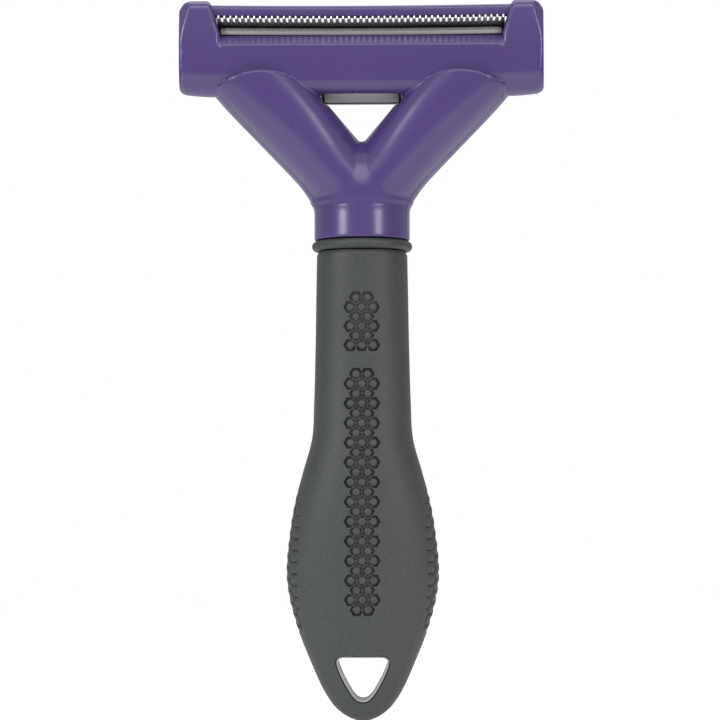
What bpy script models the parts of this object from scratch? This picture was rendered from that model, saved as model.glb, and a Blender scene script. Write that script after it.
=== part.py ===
"""Deshedding tool: a comb blade in a forked head on a soft grip, with a thumb button that clears the blade.

Lengths below are in millimetres and the meshes are built in metres, with +Z from the grip's tip up to the
head, +X to the right and the teeth pointing towards -Y. Everything in the head that follows the blade is laid
out in the blade's own axes: x along the comb, s towards the tooth tips, n away from the handle.
"""

import math

import bmesh
import bpy
from mathutils import Matrix, Vector

MM = 0.001
CLEAR = 0.3

# Blade axes
BLADE_TILT = math.radians(12.3)
GULLET_Y = -11.1
GULLET_Z = 163.83

# Comb blade, clamp and ejector
TEETH = 49
TOOTH_PITCH = 1.38
TOOTH_LENGTH = 4.0
TOOTH_ROOT_HALF = 0.43
TOOTH_TIP_HALF = 0.16
BLADE_HALF = 33.9
BLADE_BACK = -11.0
BLADE_THICK = 0.5
EDGE_SAG = 0.7
CLAMP_FRONT = -5.0
CLAMP_THICK = 1.5
BLADE_SCREW_X = (-29.5, -18.0, 18.0, 29.5)
BLADE_SCREW_S = -8.0
TRAVEL = 5.5
BAR_HALF = 33.4
BAR_FRONT = -1.43
BAR_BACK = -6.0
BAR_THICK = 1.5
TONGUE_HALF = 14.0
TONGUE_BACK = -18.5
BUTTON_HALF = 20.0
BUTTON_LOW = -9.5
BUTTON_HIGH = 2.5
BUTTON_FRONT = -18.8
BUTTON_BACK = -26.609
CAVITY_FRONT = -13.0
SPRING_X = 9.0
SPRING_N = -6.0
SPRING_MEAN_R = 1.75
SPRING_WIRE_R = 0.22
SPRING_TURNS = 8

# Head
HEAD_HALF = 43.4
HEAD_FRONT = -13.0
HEAD_BOTTOM = 147.2
HEAD_TOP = 169.3
HEAD_REAR_LOW = 7.6
HEAD_REAR_HIGH = 12.2
MOUTH_HALF_LOW = 33.9
MOUTH_SPREAD = 0.0875
REAR_LAND = 165.0
LIP_Y = -10.7
LIP_SLOPE = 1.065
PARTING_Y = -4.6
GUARD_HALF = 37.4
GUARD_SAG = 1.2

# Yoke arms and collar
COLLAR_R = 11.42
COLLAR_LOW = 113.8
COLLAR_HIGH = 121.5
CROTCH_Z = 136.2
CROTCH_SLOPE = 0.87
ARM_CAP_LOW = 149.0
ARM_CAP_HIGH = 152.8
NECK_R = 7.2
NECK_TOP = 127.5

# Grip
GRIP_TOP = 110.9
SLEEVE_WALL = 1.8
CORE_LOW = 22.4
SECTION_POWER = 2.25
GRIP_SIDES = 34
# height, half width, half depth
GRIP_STATIONS = (
    (0.0, 1.0, 0.8),
    (1.0, 3.5, 2.2),
    (2.4, 5.6, 3.2),
    (4.3, 7.4, 4.0),
    (8.0, 9.7, 5.0),
    (13.8, 12.3, 6.1),
    (21.3, 15.3, 7.6),
    (28.0, 17.2, 8.8),
    (35.0, 18.1, 9.7),
    (44.0, 17.35, 10.5),
    (51.5, 16.1, 10.8),
    (59.1, 14.05, 10.8),
    (66.7, 12.0, 10.5),
    (75.0, 11.5, 10.1),
    (88.0, 11.15, 9.8),
    (100.0, 10.95, 10.3),
    (GRIP_TOP, 10.75, 10.7),
)
HEX_ROW = 2.29
HEX_COLUMN = 1.34
HEX_RADIUS = 1.28
HEX_DEPTH = 0.45
UPPER_PATCH = (99.6, 6)
LOWER_PATCH = (81.75, 25)
TREAD_ROWS = 12
TREAD_TOP = 52.7
TREAD_PITCH = 2.73

# Hang hole
HOLE_TOP = 15.3
HOLE_LOW = 5.2
HOLE_HALF = 6.0
HOLE_ROOT_HALF = 1.4
LINER_WALL = 1.1


def clear_scene():
    for obj in list(bpy.data.objects):
        bpy.data.objects.remove(obj)


def material(name, colour, roughness, metallic=0.0):
    made = bpy.data.materials.new(name)
    made.use_nodes = True
    shader = made.node_tree.nodes["Principled BSDF"]
    shader.inputs["Base Color"].default_value = (*colour, 1.0)
    shader.inputs["Roughness"].default_value = roughness
    shader.inputs["Metallic"].default_value = metallic
    return made


def blade_point(x, s, n):
    """A point given in the blade's axes, in millimetres."""
    cos, sin = math.cos(BLADE_TILT), math.sin(BLADE_TILT)
    return Vector((x, GULLET_Y - s * cos + n * sin, GULLET_Z + s * sin + n * cos))


def solid(name, points, faces, paint=None):
    mesh = bpy.data.meshes.new(name)
    mesh.from_pydata([Vector(p) * MM for p in points], [], faces)
    work = bmesh.new()
    work.from_mesh(mesh)
    bmesh.ops.recalc_face_normals(work, faces=work.faces)
    bmesh.ops.triangulate(work, faces=work.faces)
    work.to_mesh(mesh)
    work.free()
    obj = bpy.data.objects.new(name, mesh)
    bpy.context.scene.collection.objects.link(obj)
    if paint:
        mesh.materials.append(paint)
        mesh.shade_smooth()
        mesh.set_sharp_from_angle(angle=math.radians(32))
    else:
        obj.hide_render = True
        obj.display_type = "WIRE"
    return obj


def loft(name, rings, paint=None):
    """A closed solid through rings of equal length, with flat ends."""
    sides = len(rings[0])
    points = [point for ring in rings for point in ring]
    faces = [list(range(sides)), [len(points) - 1 - i for i in range(sides)]]
    for low in range(0, len(points) - sides, sides):
        for i in range(sides):
            j = (i + 1) % sides
            faces.append([low + i, low + sides + i, low + sides + j, low + j])
    return solid(name, points, faces, paint)


def block(name, xs, ys, zs, paint=None, place=Vector):
    """A box between three pairs of limits, placed by a function of the three coordinates."""
    corners = ((0, 0), (1, 0), (1, 1), (0, 1))
    rings = [[place((x, ys[i], zs[j])) for i, j in corners] for x in xs]
    return loft(name, rings, paint)


def blade_block(name, xs, ss, ns, paint=None):
    return block(name, xs, ss, ns, paint, lambda p: blade_point(*p))


def turned(name, profile, base, axis, sides=14, paint=None):
    """A solid of revolution: profile holds radius and height along the axis, starting and ending off it."""
    turn = Vector(axis).to_track_quat("Z", "Y").to_matrix()
    rings = []
    for radius, height in profile:
        angles = (2 * math.pi * (i + 0.5) / sides for i in range(sides))
        ring = [(radius * math.cos(a), radius * math.sin(a), height) for a in angles]
        rings.append([Vector(base) + turn @ Vector(p) for p in ring])
    return loft(name, rings, paint)


def rod(name, base, axis, radius, low, high, sides=14, paint=None):
    return turned(name, ((radius, low), (radius, high)), base, axis, sides, paint)


def screw(name, base, axis, head_r, head_h, shank_r, length, paint):
    """Pan-head screw: the head rests on its base point, the shank runs back along the axis."""
    profile = (
        (shank_r * 0.5, -length),
        (shank_r, -length + shank_r),
        (shank_r, 0),
        (head_r, 0),
        (head_r, head_h * 0.55),
        (head_r * 0.62, head_h),
    )
    return turned(name, profile, base, axis, 14, paint)


def rounded(corners, steps=4):
    """Points round a polygon of (a, b, radius) corners, each corner an arc of equal steps."""
    points = []
    count = len(corners)
    for i, (a, b, radius) in enumerate(corners):
        here = Vector((a, b))
        before = (Vector(corners[i - 1][:2]) - here).normalized()
        after = (Vector(corners[(i + 1) % count][:2]) - here).normalized()
        half = before.angle(after) / 2
        centre = here + (before + after).normalized() * radius / math.sin(half)
        start = here + before * radius / math.tan(half) - centre
        end = here + after * radius / math.tan(half) - centre
        swing = start.angle_signed(end)
        for k in range(steps + 1):
            points.append(centre + Matrix.Rotation(-swing * k / steps, 2) @ start)
    return points


def stadium(grow=0.0, sides=28):
    """Outline of the thumb button in x and n, grown outwards."""
    low, high = BUTTON_LOW - grow, BUTTON_HIGH + grow
    radius = (high - low) / 2
    run = BUTTON_HALF + grow - radius
    points = []
    for i in range(sides):
        angle = 2 * math.pi * (i + 0.5) / sides
        x = math.copysign(run, math.cos(angle)) + radius * math.cos(angle)
        points.append((x, (low + high) / 2 + radius * math.sin(angle)))
    return points


def button_ring(s, grow=0.0):
    return [blade_point(x, s, n) for x, n in stadium(grow)]


def blend(stations, at):
    """Smooth interpolation through rows whose first value is the position."""
    row = 0
    while row < len(stations) - 2 and at > stations[row + 1][0]:
        row += 1
    here, there = stations[row], stations[row + 1]
    before = stations[max(row - 1, 0)]
    after = stations[min(row + 2, len(stations) - 1)]
    span = there[0] - here[0]
    t = (at - here[0]) / span
    values = []
    for k in range(1, len(here)):
        out = (there[k] - before[k]) / (there[0] - before[0]) * span
        into = (after[k] - here[k]) / (after[0] - here[0]) * span
        values.append(
            here[k] * (2 * t**3 - 3 * t**2 + 1)
            + out * (t**3 - 2 * t**2 + t)
            + there[k] * (3 * t**2 - 2 * t**3)
            + into * (t**3 - t**2)
        )
    return values


def cut(obj, *tools, operation="DIFFERENCE"):
    for tool in tools:
        step = obj.modifiers.new(tool.name, "BOOLEAN")
        step.operation = operation
        step.object = tool
    return obj


def joined(name, parts):
    """Several helper solids that don't meet, as one cutter."""
    points, faces = [], []
    for part in parts:
        start = len(points)
        points += [vertex.co / MM for vertex in part.data.vertices]
        faces += [[start + i for i in face.vertices] for face in part.data.polygons]
        bpy.data.objects.remove(part)
    return solid(name, points, faces)


# Yoke: head, arms and collar


def head_ring(x, inset):
    corners = (
        (HEAD_FRONT + inset, HEAD_BOTTOM + inset, 6.0 - inset),
        (HEAD_REAR_LOW - inset, HEAD_BOTTOM + inset, 5.0 - inset),
        (HEAD_REAR_HIGH - inset, HEAD_TOP - inset, 3.0 - inset * 0.8),
        (HEAD_FRONT + inset, HEAD_TOP - inset, 2.2 - inset * 0.8),
    )
    return [(x, y, z) for y, z in rounded(corners)]


def head_block():
    steps = ((0.0, 2.4), (0.4, 1.3), (1.2, 0.45), (2.8, 0.0))
    rings = [head_ring(-HEAD_HALF + away, inset) for away, inset in steps]
    rings += [head_ring(HEAD_HALF - away, inset) for away, inset in reversed(steps)]
    return loft("yoke_blank", rings)


def arm_section(z):
    """Outer and inner x of the left arm's section, its depth limits and its taper into the end cap."""
    outer_line = (
        (116.0, -10.6),
        (119.0, -11.2),
        (122.2, -12.1),
        (125.0, -13.6),
        (127.7, -15.65),
        (135.1, -22.95),
        (142.7, -30.8),
        (152.8, -40.6),
    )
    outer = blend(outer_line, z)[0]
    inner = min(CROTCH_SLOPE * (CROTCH_Z - z), 8.0)
    depth = ((116.0, -10.6, 10.6), (122.0, -11.5, 11.3), (136.0, -13.0, 10.6), (149.0, -14.1, 7.6), (152.8, -12.6, 7.0))
    front, rear = blend(depth, z)
    taper = 1.0
    if z > ARM_CAP_LOW:
        part = (z - ARM_CAP_LOW) / (ARM_CAP_HIGH - ARM_CAP_LOW)
        taper = math.sqrt(max(1 - part**2, 0.02))
    return outer, inner, front, rear, taper


def arm_ring(z, side, sides=28):
    outer, inner, front, rear, taper = arm_section(z)
    centre, half = (outer + inner) / 2, (inner - outer) / 2 * taper
    ring = []
    for i in range(sides):
        angle = 2 * math.pi * i / sides
        x = centre + half * math.cos(angle)
        ring.append((-side * x, (front + rear) / 2 + (rear - front) / 2 * math.sin(angle), z))
    return ring


def arm(name, side):
    heights = (116.0, 119.0, 122.0, 125.0, 128.0, 132.0, 137.0, 143.0, 149.0, 150.6, 151.8, 152.6)
    return loft(name, [arm_ring(z, side) for z in heights])


def mouth_cutter():
    """The open mouth between the end blocks: lip slope, ejector floor, blade ledge and the lowered rear land."""
    floor_s = (GULLET_Y - LIP_Y) / math.cos(BLADE_TILT)
    lip_z = blade_point(0, floor_s, -BLADE_THICK - BAR_THICK - 2 * CLEAR)[2]
    outline = [(LIP_Y - 6.0, lip_z - 6.0 * LIP_SLOPE), (LIP_Y, lip_z)]
    ledge = -BLADE_THICK - CLEAR
    for s, n in ((-6.5, -BLADE_THICK - BAR_THICK - 2 * CLEAR), (-6.5, ledge), (BLADE_BACK - CLEAR, ledge)):
        outline.append(tuple(blade_point(0, s, n))[1:])
    back_y = blade_point(0, BLADE_BACK - CLEAR, CLAMP_THICK + CLEAR)[1]
    outline += [(back_y, outline[-1][1]), (back_y, REAR_LAND), (30.0, REAR_LAND), (30.0, 185.0), (-30.0, 185.0), (-30.0, outline[0][1])]

    def side(sign):
        halves = (MOUTH_HALF_LOW + MOUTH_SPREAD * max(z - 159.0, 0.0) for _, z in outline)
        return [(sign * half, y, z) for half, (y, z) in zip(halves, outline)]

    return loft("mouth_cutter", [side(-1), side(1)])


def blade_rods(name, radius, low, high):
    up = blade_point(0, 0, 1) - blade_point(0, 0, 0)
    rods = [
        rod(f"{name}_{i}", blade_point(x, BLADE_SCREW_S, 0), up, radius, low, high, 12)
        for i, x in enumerate(BLADE_SCREW_X)
    ]
    return joined(name, rods)


def along_s():
    return blade_point(0, 1, 0) - blade_point(0, 0, 0)


def spring_rods(name, radius, low, high, sides=14):
    rods = [
        rod(f"{name}_{i}", blade_point(x, 0, SPRING_N), along_s(), radius, low, high, sides)
        for i, x in enumerate((-SPRING_X, SPRING_X))
    ]
    return joined(name, rods)


# x, z, rear y of the screw's seat, y of the shank's end
SHELL_SCREWS = {
    "head_screw_left": (-39.0, 156.0, 4.0, -9.5),
    "head_screw_right": (39.0, 156.0, 4.0, -9.5),
    "arm_screw_left": (-20.3, 143.3, 3.2, -9.5),
    "arm_screw_right": (20.3, 143.3, 3.2, -9.5),
}
COLLAR_SCREW = (0.0, 118.0, 8.6, -2.5)


def shell_cutters():
    back = Vector((0, 1, 0))
    holes = []
    for name, (x, z, seat, end) in SHELL_SCREWS.items():
        profile = ((1.4, end - 0.5), (1.4, seat - CLEAR), (2.7, seat - CLEAR), (2.7, 30.0))
        holes.append(turned(f"{name}_hole", profile, (x, 0, z), back, 16))
    x, z, seat, end = COLLAR_SCREW
    profile = ((1.3, end - 0.5), (1.3, seat - CLEAR), (2.3, seat - CLEAR), (2.3, 30.0))
    holes.append(turned("collar_screw_hole", profile, (x, 0, z), back, 16))
    sockets = [
        block(f"guard_socket_{sign}", (sign * 32.0, sign * (GUARD_HALF + 0.4)), (-11.7, -7.2), (164.9, 168.5))
        for sign in (-1, 1)
    ]
    return [
        mouth_cutter(),
        blade_block("tongue_slot", (-14.4, 14.4), (-20.0, -5.5), (-BLADE_THICK - BAR_THICK - 2 * CLEAR, -BLADE_THICK)),
        loft("button_cavity", [button_ring(s, 0.4) for s in (-45.0, CAVITY_FRONT)]),
        loft("bezel_pocket", [button_ring(s, 2.6) for s in (-45.0, -20.4)]),
        spring_rods("spring_bores", 2.5, CAVITY_FRONT - 2.0, -4.0),
        blade_rods("blade_screw_bores", 1.2, -7.0, 6.0),
        rod("neck_bore", (0, 0, 0), (0, 0, 1), NECK_R + 0.4, 100.0, NECK_TOP + 0.5, 28),
        block("cover_pocket", (-9.3, 9.3), (-9.4, 3.5), (144.0, 148.9)),
        joined("shell_screw_holes", holes),
        joined("guard_sockets", sockets),
    ]


def shells(paint):
    blank = head_block()
    collar = rod("collar_blank", (0, 0, 0), (0, 0, 1), COLLAR_R, COLLAR_LOW, COLLAR_HIGH, 40)
    cut(blank, arm("arm_left", 1), arm("arm_right", -1), collar, operation="UNION")
    cutters = shell_cutters()
    for name, ys in (
        ("yoke_front_shell", (-60.0, PARTING_Y - CLEAR / 2)),
        ("yoke_rear_shell", (PARTING_Y + CLEAR / 2, 60.0)),
    ):
        shell = block(name, (-80.0, 80.0), ys, (90.0, 190.0), paint)
        cut(shell, blank, operation="INTERSECT")
        cut(shell, *cutters)


# Pieces in the head


def edge_sag(x):
    return -EDGE_SAG * (1 - (x / BLADE_HALF) ** 2)


def comb_blade(paint):
    outline = [(-BLADE_HALF, BLADE_BACK), (-BLADE_HALF, 0.0)]
    for k in range(TEETH):
        x = (k - (TEETH - 1) / 2) * TOOTH_PITCH
        sag = edge_sag(x)
        outline.append((x - TOOTH_ROOT_HALF, sag))
        outline.append((x - TOOTH_TIP_HALF, TOOTH_LENGTH + sag))
        outline.append((x + TOOTH_TIP_HALF, TOOTH_LENGTH + sag))
        outline.append((x + TOOTH_ROOT_HALF, sag))
    outline += [(BLADE_HALF, 0.0), (BLADE_HALF, BLADE_BACK)]
    rings = [[blade_point(x, s, n) for x, s in outline] for n in (-BLADE_THICK, 0.0)]
    return cut(loft("comb_blade", rings, paint), blade_rods("blade_holes", 1.2, -3.0, 3.0))


def blade_clamp(paint):
    ns = (CLEAR, CLEAR + CLAMP_THICK)
    clamp = blade_block("blade_clamp", (-BLADE_HALF, BLADE_HALF), (BLADE_BACK, CLAMP_FRONT), ns, paint)
    return cut(clamp, blade_rods("clamp_holes", 1.2, -3.0, 5.0))


def blade_screws(paint):
    up = blade_point(0, 0, 1) - blade_point(0, 0, 0)
    seat = 2 * CLEAR + CLAMP_THICK
    for i, x in enumerate(BLADE_SCREW_X):
        base = blade_point(x, BLADE_SCREW_S, seat)
        screw(f"blade_screw_{i + 1}", base, up, 1.9, 1.1, 0.85, seat + 6.0, paint)


def ejector_bar(paint):
    """The wiper under the teeth, bowed as the tooth line is, with a chamfered lower front edge."""
    top = -BLADE_THICK - CLEAR
    rings = []
    for k in range(13):
        x = BAR_HALF * (k / 6 - 1)
        end = 0.35 if k in (0, 12) else 0.0
        front = BAR_FRONT + edge_sag(x) - end
        section = ((BAR_BACK, top), (front, top), (front, top - 1.1), (front - 0.4, top - BAR_THICK), (BAR_BACK, top - BAR_THICK))
        rings.append([blade_point(x, s, n) for s, n in section])
    return loft("ejector_bar", rings, paint)


def ejector_tongue(paint):
    ns = (-BLADE_THICK - BAR_THICK - CLEAR, -BLADE_THICK - CLEAR)
    return blade_block("ejector_tongue", (-TONGUE_HALF, TONGUE_HALF), (TONGUE_BACK, BAR_BACK - CLEAR), ns, paint)


def ejector_button(paint):
    steps = ((BUTTON_BACK, -1.6), (BUTTON_BACK + 0.35, -0.8), (BUTTON_BACK + 1.2, -0.15), (BUTTON_BACK + 2.2, 0.0))
    rings = [button_ring(s, grow) for s, grow in steps] + [button_ring(BUTTON_FRONT)]
    button = loft("ejector_button", rings, paint)
    return cut(button, spring_rods("spring_seats", 2.5, -22.8, -10.0), spring_rods("pin_seats", 1.2, -25.0, -21.0, 12))


def button_bezel(paint):
    bezel = loft("button_bezel", [button_ring(s, 2.3) for s in (-22.1, -20.7)], paint)
    return cut(bezel, loft("bezel_hole", [button_ring(s, 0.4) for s in (-30.0, -10.0)]))


def coil(name, x, paint):
    """Compression spring along s: a round wire swept round its helix."""
    low, high, around, ring_sides = -22.4, -4.5, 9, 5
    steps = SPRING_TURNS * around
    rings = []
    for i in range(steps + 1):
        angle = 2 * math.pi * i / around
        s = low + (high - low) * i / steps
        ring = []
        for j in range(ring_sides):
            lean = 2 * math.pi * j / ring_sides
            radius = SPRING_MEAN_R + SPRING_WIRE_R * math.cos(lean)
            rise = s + SPRING_WIRE_R * math.sin(lean)
            across = x + radius * math.cos(angle)
            ring.append(blade_point(across, rise, SPRING_N + radius * math.sin(angle)))
        rings.append(ring)
    return loft(name, rings, paint)


def spring_pin(name, x, paint):
    profile = ((0.6, -24.7), (0.9, -24.4), (0.9, -11.9), (0.5, -11.4))
    return turned(name, profile, blade_point(x, 0, SPRING_N), along_s(), 12, paint)


def skin_guard(paint):
    corners = (
        (-11.1, 165.35, 0.5),
        (-8.0, 165.95, 0.5),
        (-8.0, 168.05, 0.7),
        (-11.1, 168.05, 0.9),
    )
    section = rounded(corners, 3)
    rings = []
    for k in range(13):
        x = GUARD_HALF * (k / 6 - 1)
        sag = GUARD_SAG * max(1 - (x / MOUTH_HALF_LOW) ** 2, 0.0)
        rings.append([(x, y + sag, z) for y, z in section])
    return loft("skin_guard", rings, paint)


def shell_screws(paint):
    for name, (x, z, seat, end) in SHELL_SCREWS.items():
        screw(name, (x, seat, z), (0, 1, 0), 2.3, 1.6, 1.1, seat - end, paint)
    x, z, seat, end = COLLAR_SCREW
    screw("collar_screw", (x, seat, z), (0, 1, 0), 1.95, 1.3, 1.0, seat - end, paint)


# Grip


def grip_ring(z, inset=0.0, sides=GRIP_SIDES):
    half_x, half_y = (value - inset for value in blend(GRIP_STATIONS, z))
    ring = []
    for i in range(sides):
        cos, sin = math.cos(2 * math.pi * i / sides), math.sin(2 * math.pi * i / sides)
        x = half_x * math.copysign(abs(cos) ** (2 / SECTION_POWER), cos)
        y = half_y * math.copysign(abs(sin) ** (2 / SECTION_POWER), sin)
        ring.append((x, y, z))
    return ring


def grip_depth(x, z):
    """Distance of the grip's surface in front of its middle plane, at x and z."""
    half_x, half_y = blend(GRIP_STATIONS, z)
    return half_y * max(1 - abs(x / half_x) ** SECTION_POWER, 0.0) ** (1 / SECTION_POWER)


def hexagon(at, radius=HEX_RADIUS):
    angles = (math.pi / 3 * k for k in range(6))
    return [(at[0] + radius * math.cos(a), at[1] + radius * math.sin(a)) for a in angles]


def patch_cells():
    """Centres of the front honeycomb, rows of two and three by turns, in x and z."""
    for top, rows in (UPPER_PATCH, LOWER_PATCH):
        for row in range(rows):
            across = (-1, 1) if row % 2 == 0 else (-2, 0, 2)
            for step in across:
                yield step * HEX_COLUMN, top - row * HEX_ROW


def pocket(outline, surface, outside, depth, dome, place):
    """A six-sided cutter whose inner end follows a surface and rises to a dome."""
    points = [place(a, b, outside) for a, b in outline]
    points += [place(a, b, surface(a, b) - depth) for a, b in outline]
    middle = [sum(c) / 6 for c in zip(*outline)]
    points.append(place(*middle, surface(*middle) - depth + dome))
    faces = [list(range(6))]
    for i in range(6):
        j = (i + 1) % 6
        faces.append([i, j, 6 + j, 6 + i])
        faces.append([6 + i, 6 + j, 12])
    return points, faces


def pockets(name, made):
    points, faces = [], []
    for some_points, some_faces in made:
        faces += [[len(points) + i for i in face] for face in some_faces]
        points += some_points
    return solid(name, points, faces)


def front_pockets():
    made = (
        pocket(hexagon(cell), grip_depth, 16.0, HEX_DEPTH, 0.3, lambda x, z, out: (x, -out, z))
        for cell in patch_cells()
    )
    return pockets("honeycomb_cutter", made)


def side_reach(y, z):
    half_x, half_y = blend(GRIP_STATIONS, z)
    return half_x * max(1 - abs(y / half_y) ** SECTION_POWER, 0.0) ** (1 / SECTION_POWER)


def tread_pockets(side):
    made = []
    for row in range(TREAD_ROWS):
        across = (-1.65, 1.65) if row % 2 else (-3.3, 0.0, 3.3)
        for y in across:
            outline = hexagon((y, TREAD_TOP - row * TREAD_PITCH), 1.5)
            made.append(pocket(outline, side_reach, 24.0, 0.35, 0.15, lambda a, b, out: (side * out, a, b)))
    return pockets(f"tread_cutter_{side}", made)


def hole_outline(grow=0.0):
    corners = (
        (-HOLE_HALF - grow, HOLE_TOP + grow, 1.4 + grow),
        (HOLE_HALF + grow, HOLE_TOP + grow, 1.4 + grow),
        (HOLE_ROOT_HALF + grow * 0.6, HOLE_LOW - grow, 1.2 + grow),
        (-HOLE_ROOT_HALF - grow * 0.6, HOLE_LOW - grow, 1.2 + grow),
    )
    return rounded(corners)


def hole_prism(name, grow, deep, paint=None):
    return loft(name, [[(x, y, z) for x, z in hole_outline(grow)] for y in (-deep, deep)], paint)


def grip_sleeve(paint):
    heights = [0.0, 0.4, 1.0, 2.4, 4.3, 8.0]
    heights += [13.8 + 5.75 * k for k in range(16)]
    heights += [105.8, GRIP_TOP]
    sleeve = loft("grip_sleeve", [grip_ring(z) for z in heights], paint)
    levels = [22.0 + 8.0 * k for k in range(11)] + [GRIP_TOP]
    rings = [grip_ring(z, SLEEVE_WALL, 28) for z in levels]
    rings.append([(x, y, GRIP_TOP + 10.0) for x, y, z in rings[-1]])
    cavity = loft("core_cavity", rings)
    liner_hole = hole_prism("liner_hole", LINER_WALL + CLEAR, 30.0)
    return cut(sleeve, cavity, liner_hole, front_pockets(), tread_pockets(-1), tread_pockets(1))


def handle_core(paint):
    inset = SLEEVE_WALL + CLEAR
    rings = [grip_ring(z, inset, 28) for z in [CORE_LOW + 8.8 * k for k in range(10)] + [GRIP_TOP - 0.5]]
    for radius, z in ((NECK_R, GRIP_TOP - 0.4), (NECK_R, NECK_TOP - 0.8), (NECK_R - 0.8, NECK_TOP)):
        turns = (2 * math.pi * i / 28 for i in range(28))
        rings.append([(radius * math.cos(a), radius * math.sin(a), z) for a in turns])
    core = loft("handle_core", rings, paint)
    x, z, seat, end = COLLAR_SCREW
    return cut(core, rod("neck_screw_bore", (x, 0, z), (0, 1, 0), 1.3, end - 0.4, 20.0, 12))


def collar_ring(paint):
    low, high, inner, outer = 111.2, 113.5, NECK_R + CLEAR, 11.98
    profile = ((outer - 0.8, low), (outer - 0.2, low + 0.45), (outer, low + 1.15), (outer - 0.2, high - 0.45), (outer - 0.8, high))
    ring = turned("collar_ring", profile, (0, 0, 0), (0, 0, 1), 36, paint)
    return cut(ring, rod("ring_bore", (0, 0, 0), (0, 0, 1), inner, low - 5.0, high + 5.0, 28))


def hang_hole_liner(paint):
    liner = hole_prism("hang_hole_liner", LINER_WALL, 4.4, paint)
    return cut(liner, hole_prism("hang_hole", 0.0, 20.0))


def ride_on(carrier, *objects):
    """Puts the origin of each piece on its carrier and parents it there."""
    for obj in objects:
        obj.data.transform(Matrix.Translation(-carrier.location))
        obj.parent = carrier


def main():
    clear_scene()
    purple = material("yoke_purple", (0.094, 0.062, 0.212), 0.38)
    charcoal = material("grip_rubber", (0.090, 0.098, 0.100), 0.72)
    core_grey = material("core_plastic", (0.18, 0.185, 0.19), 0.5)
    light_grey = material("trim_light_grey", (0.36, 0.36, 0.36), 0.45)
    dark_grey = material("ejector_dark_grey", (0.13, 0.125, 0.13), 0.45)
    steel = material("blade_steel", (0.42, 0.42, 0.40), 0.32, 1.0)
    zinc = material("screw_zinc", (0.55, 0.55, 0.56), 0.35, 1.0)

    shells(purple)
    skin_guard(purple)
    comb_blade(steel)
    blade_clamp(core_grey)
    blade_screws(zinc)
    shell_screws(zinc)
    button_bezel(light_grey)
    block("underside_cover", (-9.0, 9.0), (-9.1, 3.2), (147.3, 148.6), light_grey)
    grip_sleeve(charcoal)
    handle_core(core_grey)
    collar_ring(charcoal)
    hang_hole_liner(light_grey)

    carrier = bpy.data.objects.new("ejector_axis", None)
    carrier.location = blade_point(0, BUTTON_FRONT, (BUTTON_LOW + BUTTON_HIGH) / 2) * MM
    bpy.context.scene.collection.objects.link(carrier)
    moving = [ejector_bar(dark_grey), ejector_tongue(dark_grey), ejector_button(light_grey)]
    for side, x in (("left", -SPRING_X), ("right", SPRING_X)):
        coil(f"return_spring_{side}", x, steel)
        moving.append(spring_pin(f"spring_pin_{side}", x, steel))
    ride_on(carrier, *moving)


main()
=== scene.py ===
"""Deshedding tool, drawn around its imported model: forked head, comb blade, wiper, thumb button and soft grip.

Shapes are worked out in millimetres and stored in metres, with +Z from the grip's tip up to the head and the
teeth pointing towards -Y. In the head, s runs along the blade towards the tooth tips and n across it.
"""

import math

import bmesh
import bpy
import numpy as np
from mathutils import Matrix, Vector


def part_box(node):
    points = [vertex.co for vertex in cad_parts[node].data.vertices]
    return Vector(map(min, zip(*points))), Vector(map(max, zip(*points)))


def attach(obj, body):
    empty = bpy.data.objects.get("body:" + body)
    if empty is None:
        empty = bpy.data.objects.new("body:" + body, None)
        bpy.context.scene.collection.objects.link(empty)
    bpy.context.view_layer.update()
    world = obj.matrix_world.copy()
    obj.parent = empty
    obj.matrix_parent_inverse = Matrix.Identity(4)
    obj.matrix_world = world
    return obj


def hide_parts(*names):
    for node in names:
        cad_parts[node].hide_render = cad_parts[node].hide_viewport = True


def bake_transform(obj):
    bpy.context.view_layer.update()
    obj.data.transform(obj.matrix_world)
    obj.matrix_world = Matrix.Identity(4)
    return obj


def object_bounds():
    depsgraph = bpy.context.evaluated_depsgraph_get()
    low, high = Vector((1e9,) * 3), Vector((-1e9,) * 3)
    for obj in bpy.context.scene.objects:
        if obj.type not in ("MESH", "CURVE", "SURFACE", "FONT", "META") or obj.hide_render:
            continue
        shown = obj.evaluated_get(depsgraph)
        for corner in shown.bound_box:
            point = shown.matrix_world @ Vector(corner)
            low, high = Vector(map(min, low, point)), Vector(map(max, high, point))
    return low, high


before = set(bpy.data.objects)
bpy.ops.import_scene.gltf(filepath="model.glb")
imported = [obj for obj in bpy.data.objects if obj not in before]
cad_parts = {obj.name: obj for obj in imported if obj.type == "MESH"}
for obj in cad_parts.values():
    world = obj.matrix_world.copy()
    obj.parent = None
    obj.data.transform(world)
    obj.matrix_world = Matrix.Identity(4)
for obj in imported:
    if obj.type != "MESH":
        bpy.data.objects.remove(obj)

bl_info = {
    "name": "Deshedding Tool",
    "version": (1, 0, 0),
    "blender": (4, 5, 0),
    "location": "3D View > Sidebar > Deshedding Tool",
    "description": "Builds a deshedding tool with a thumb button that wipes its comb blade",
    "category": "Object",
}

MM = 0.001
CAD_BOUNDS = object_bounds()


def span(node):
    """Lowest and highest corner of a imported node, in millimetres."""
    low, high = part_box(node)
    return np.array(low) / MM, np.array(high) / MM


# Blade axes
TILT = math.radians(12.3)
COS, SIN = math.cos(TILT), math.sin(TILT)
ALONG_BLADE, ACROSS_BLADE = (0, -COS, SIN), (0, SIN, COS)
GULLET_Y, GULLET_Z = -11.1, 163.83
CLEAR = 0.3

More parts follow.
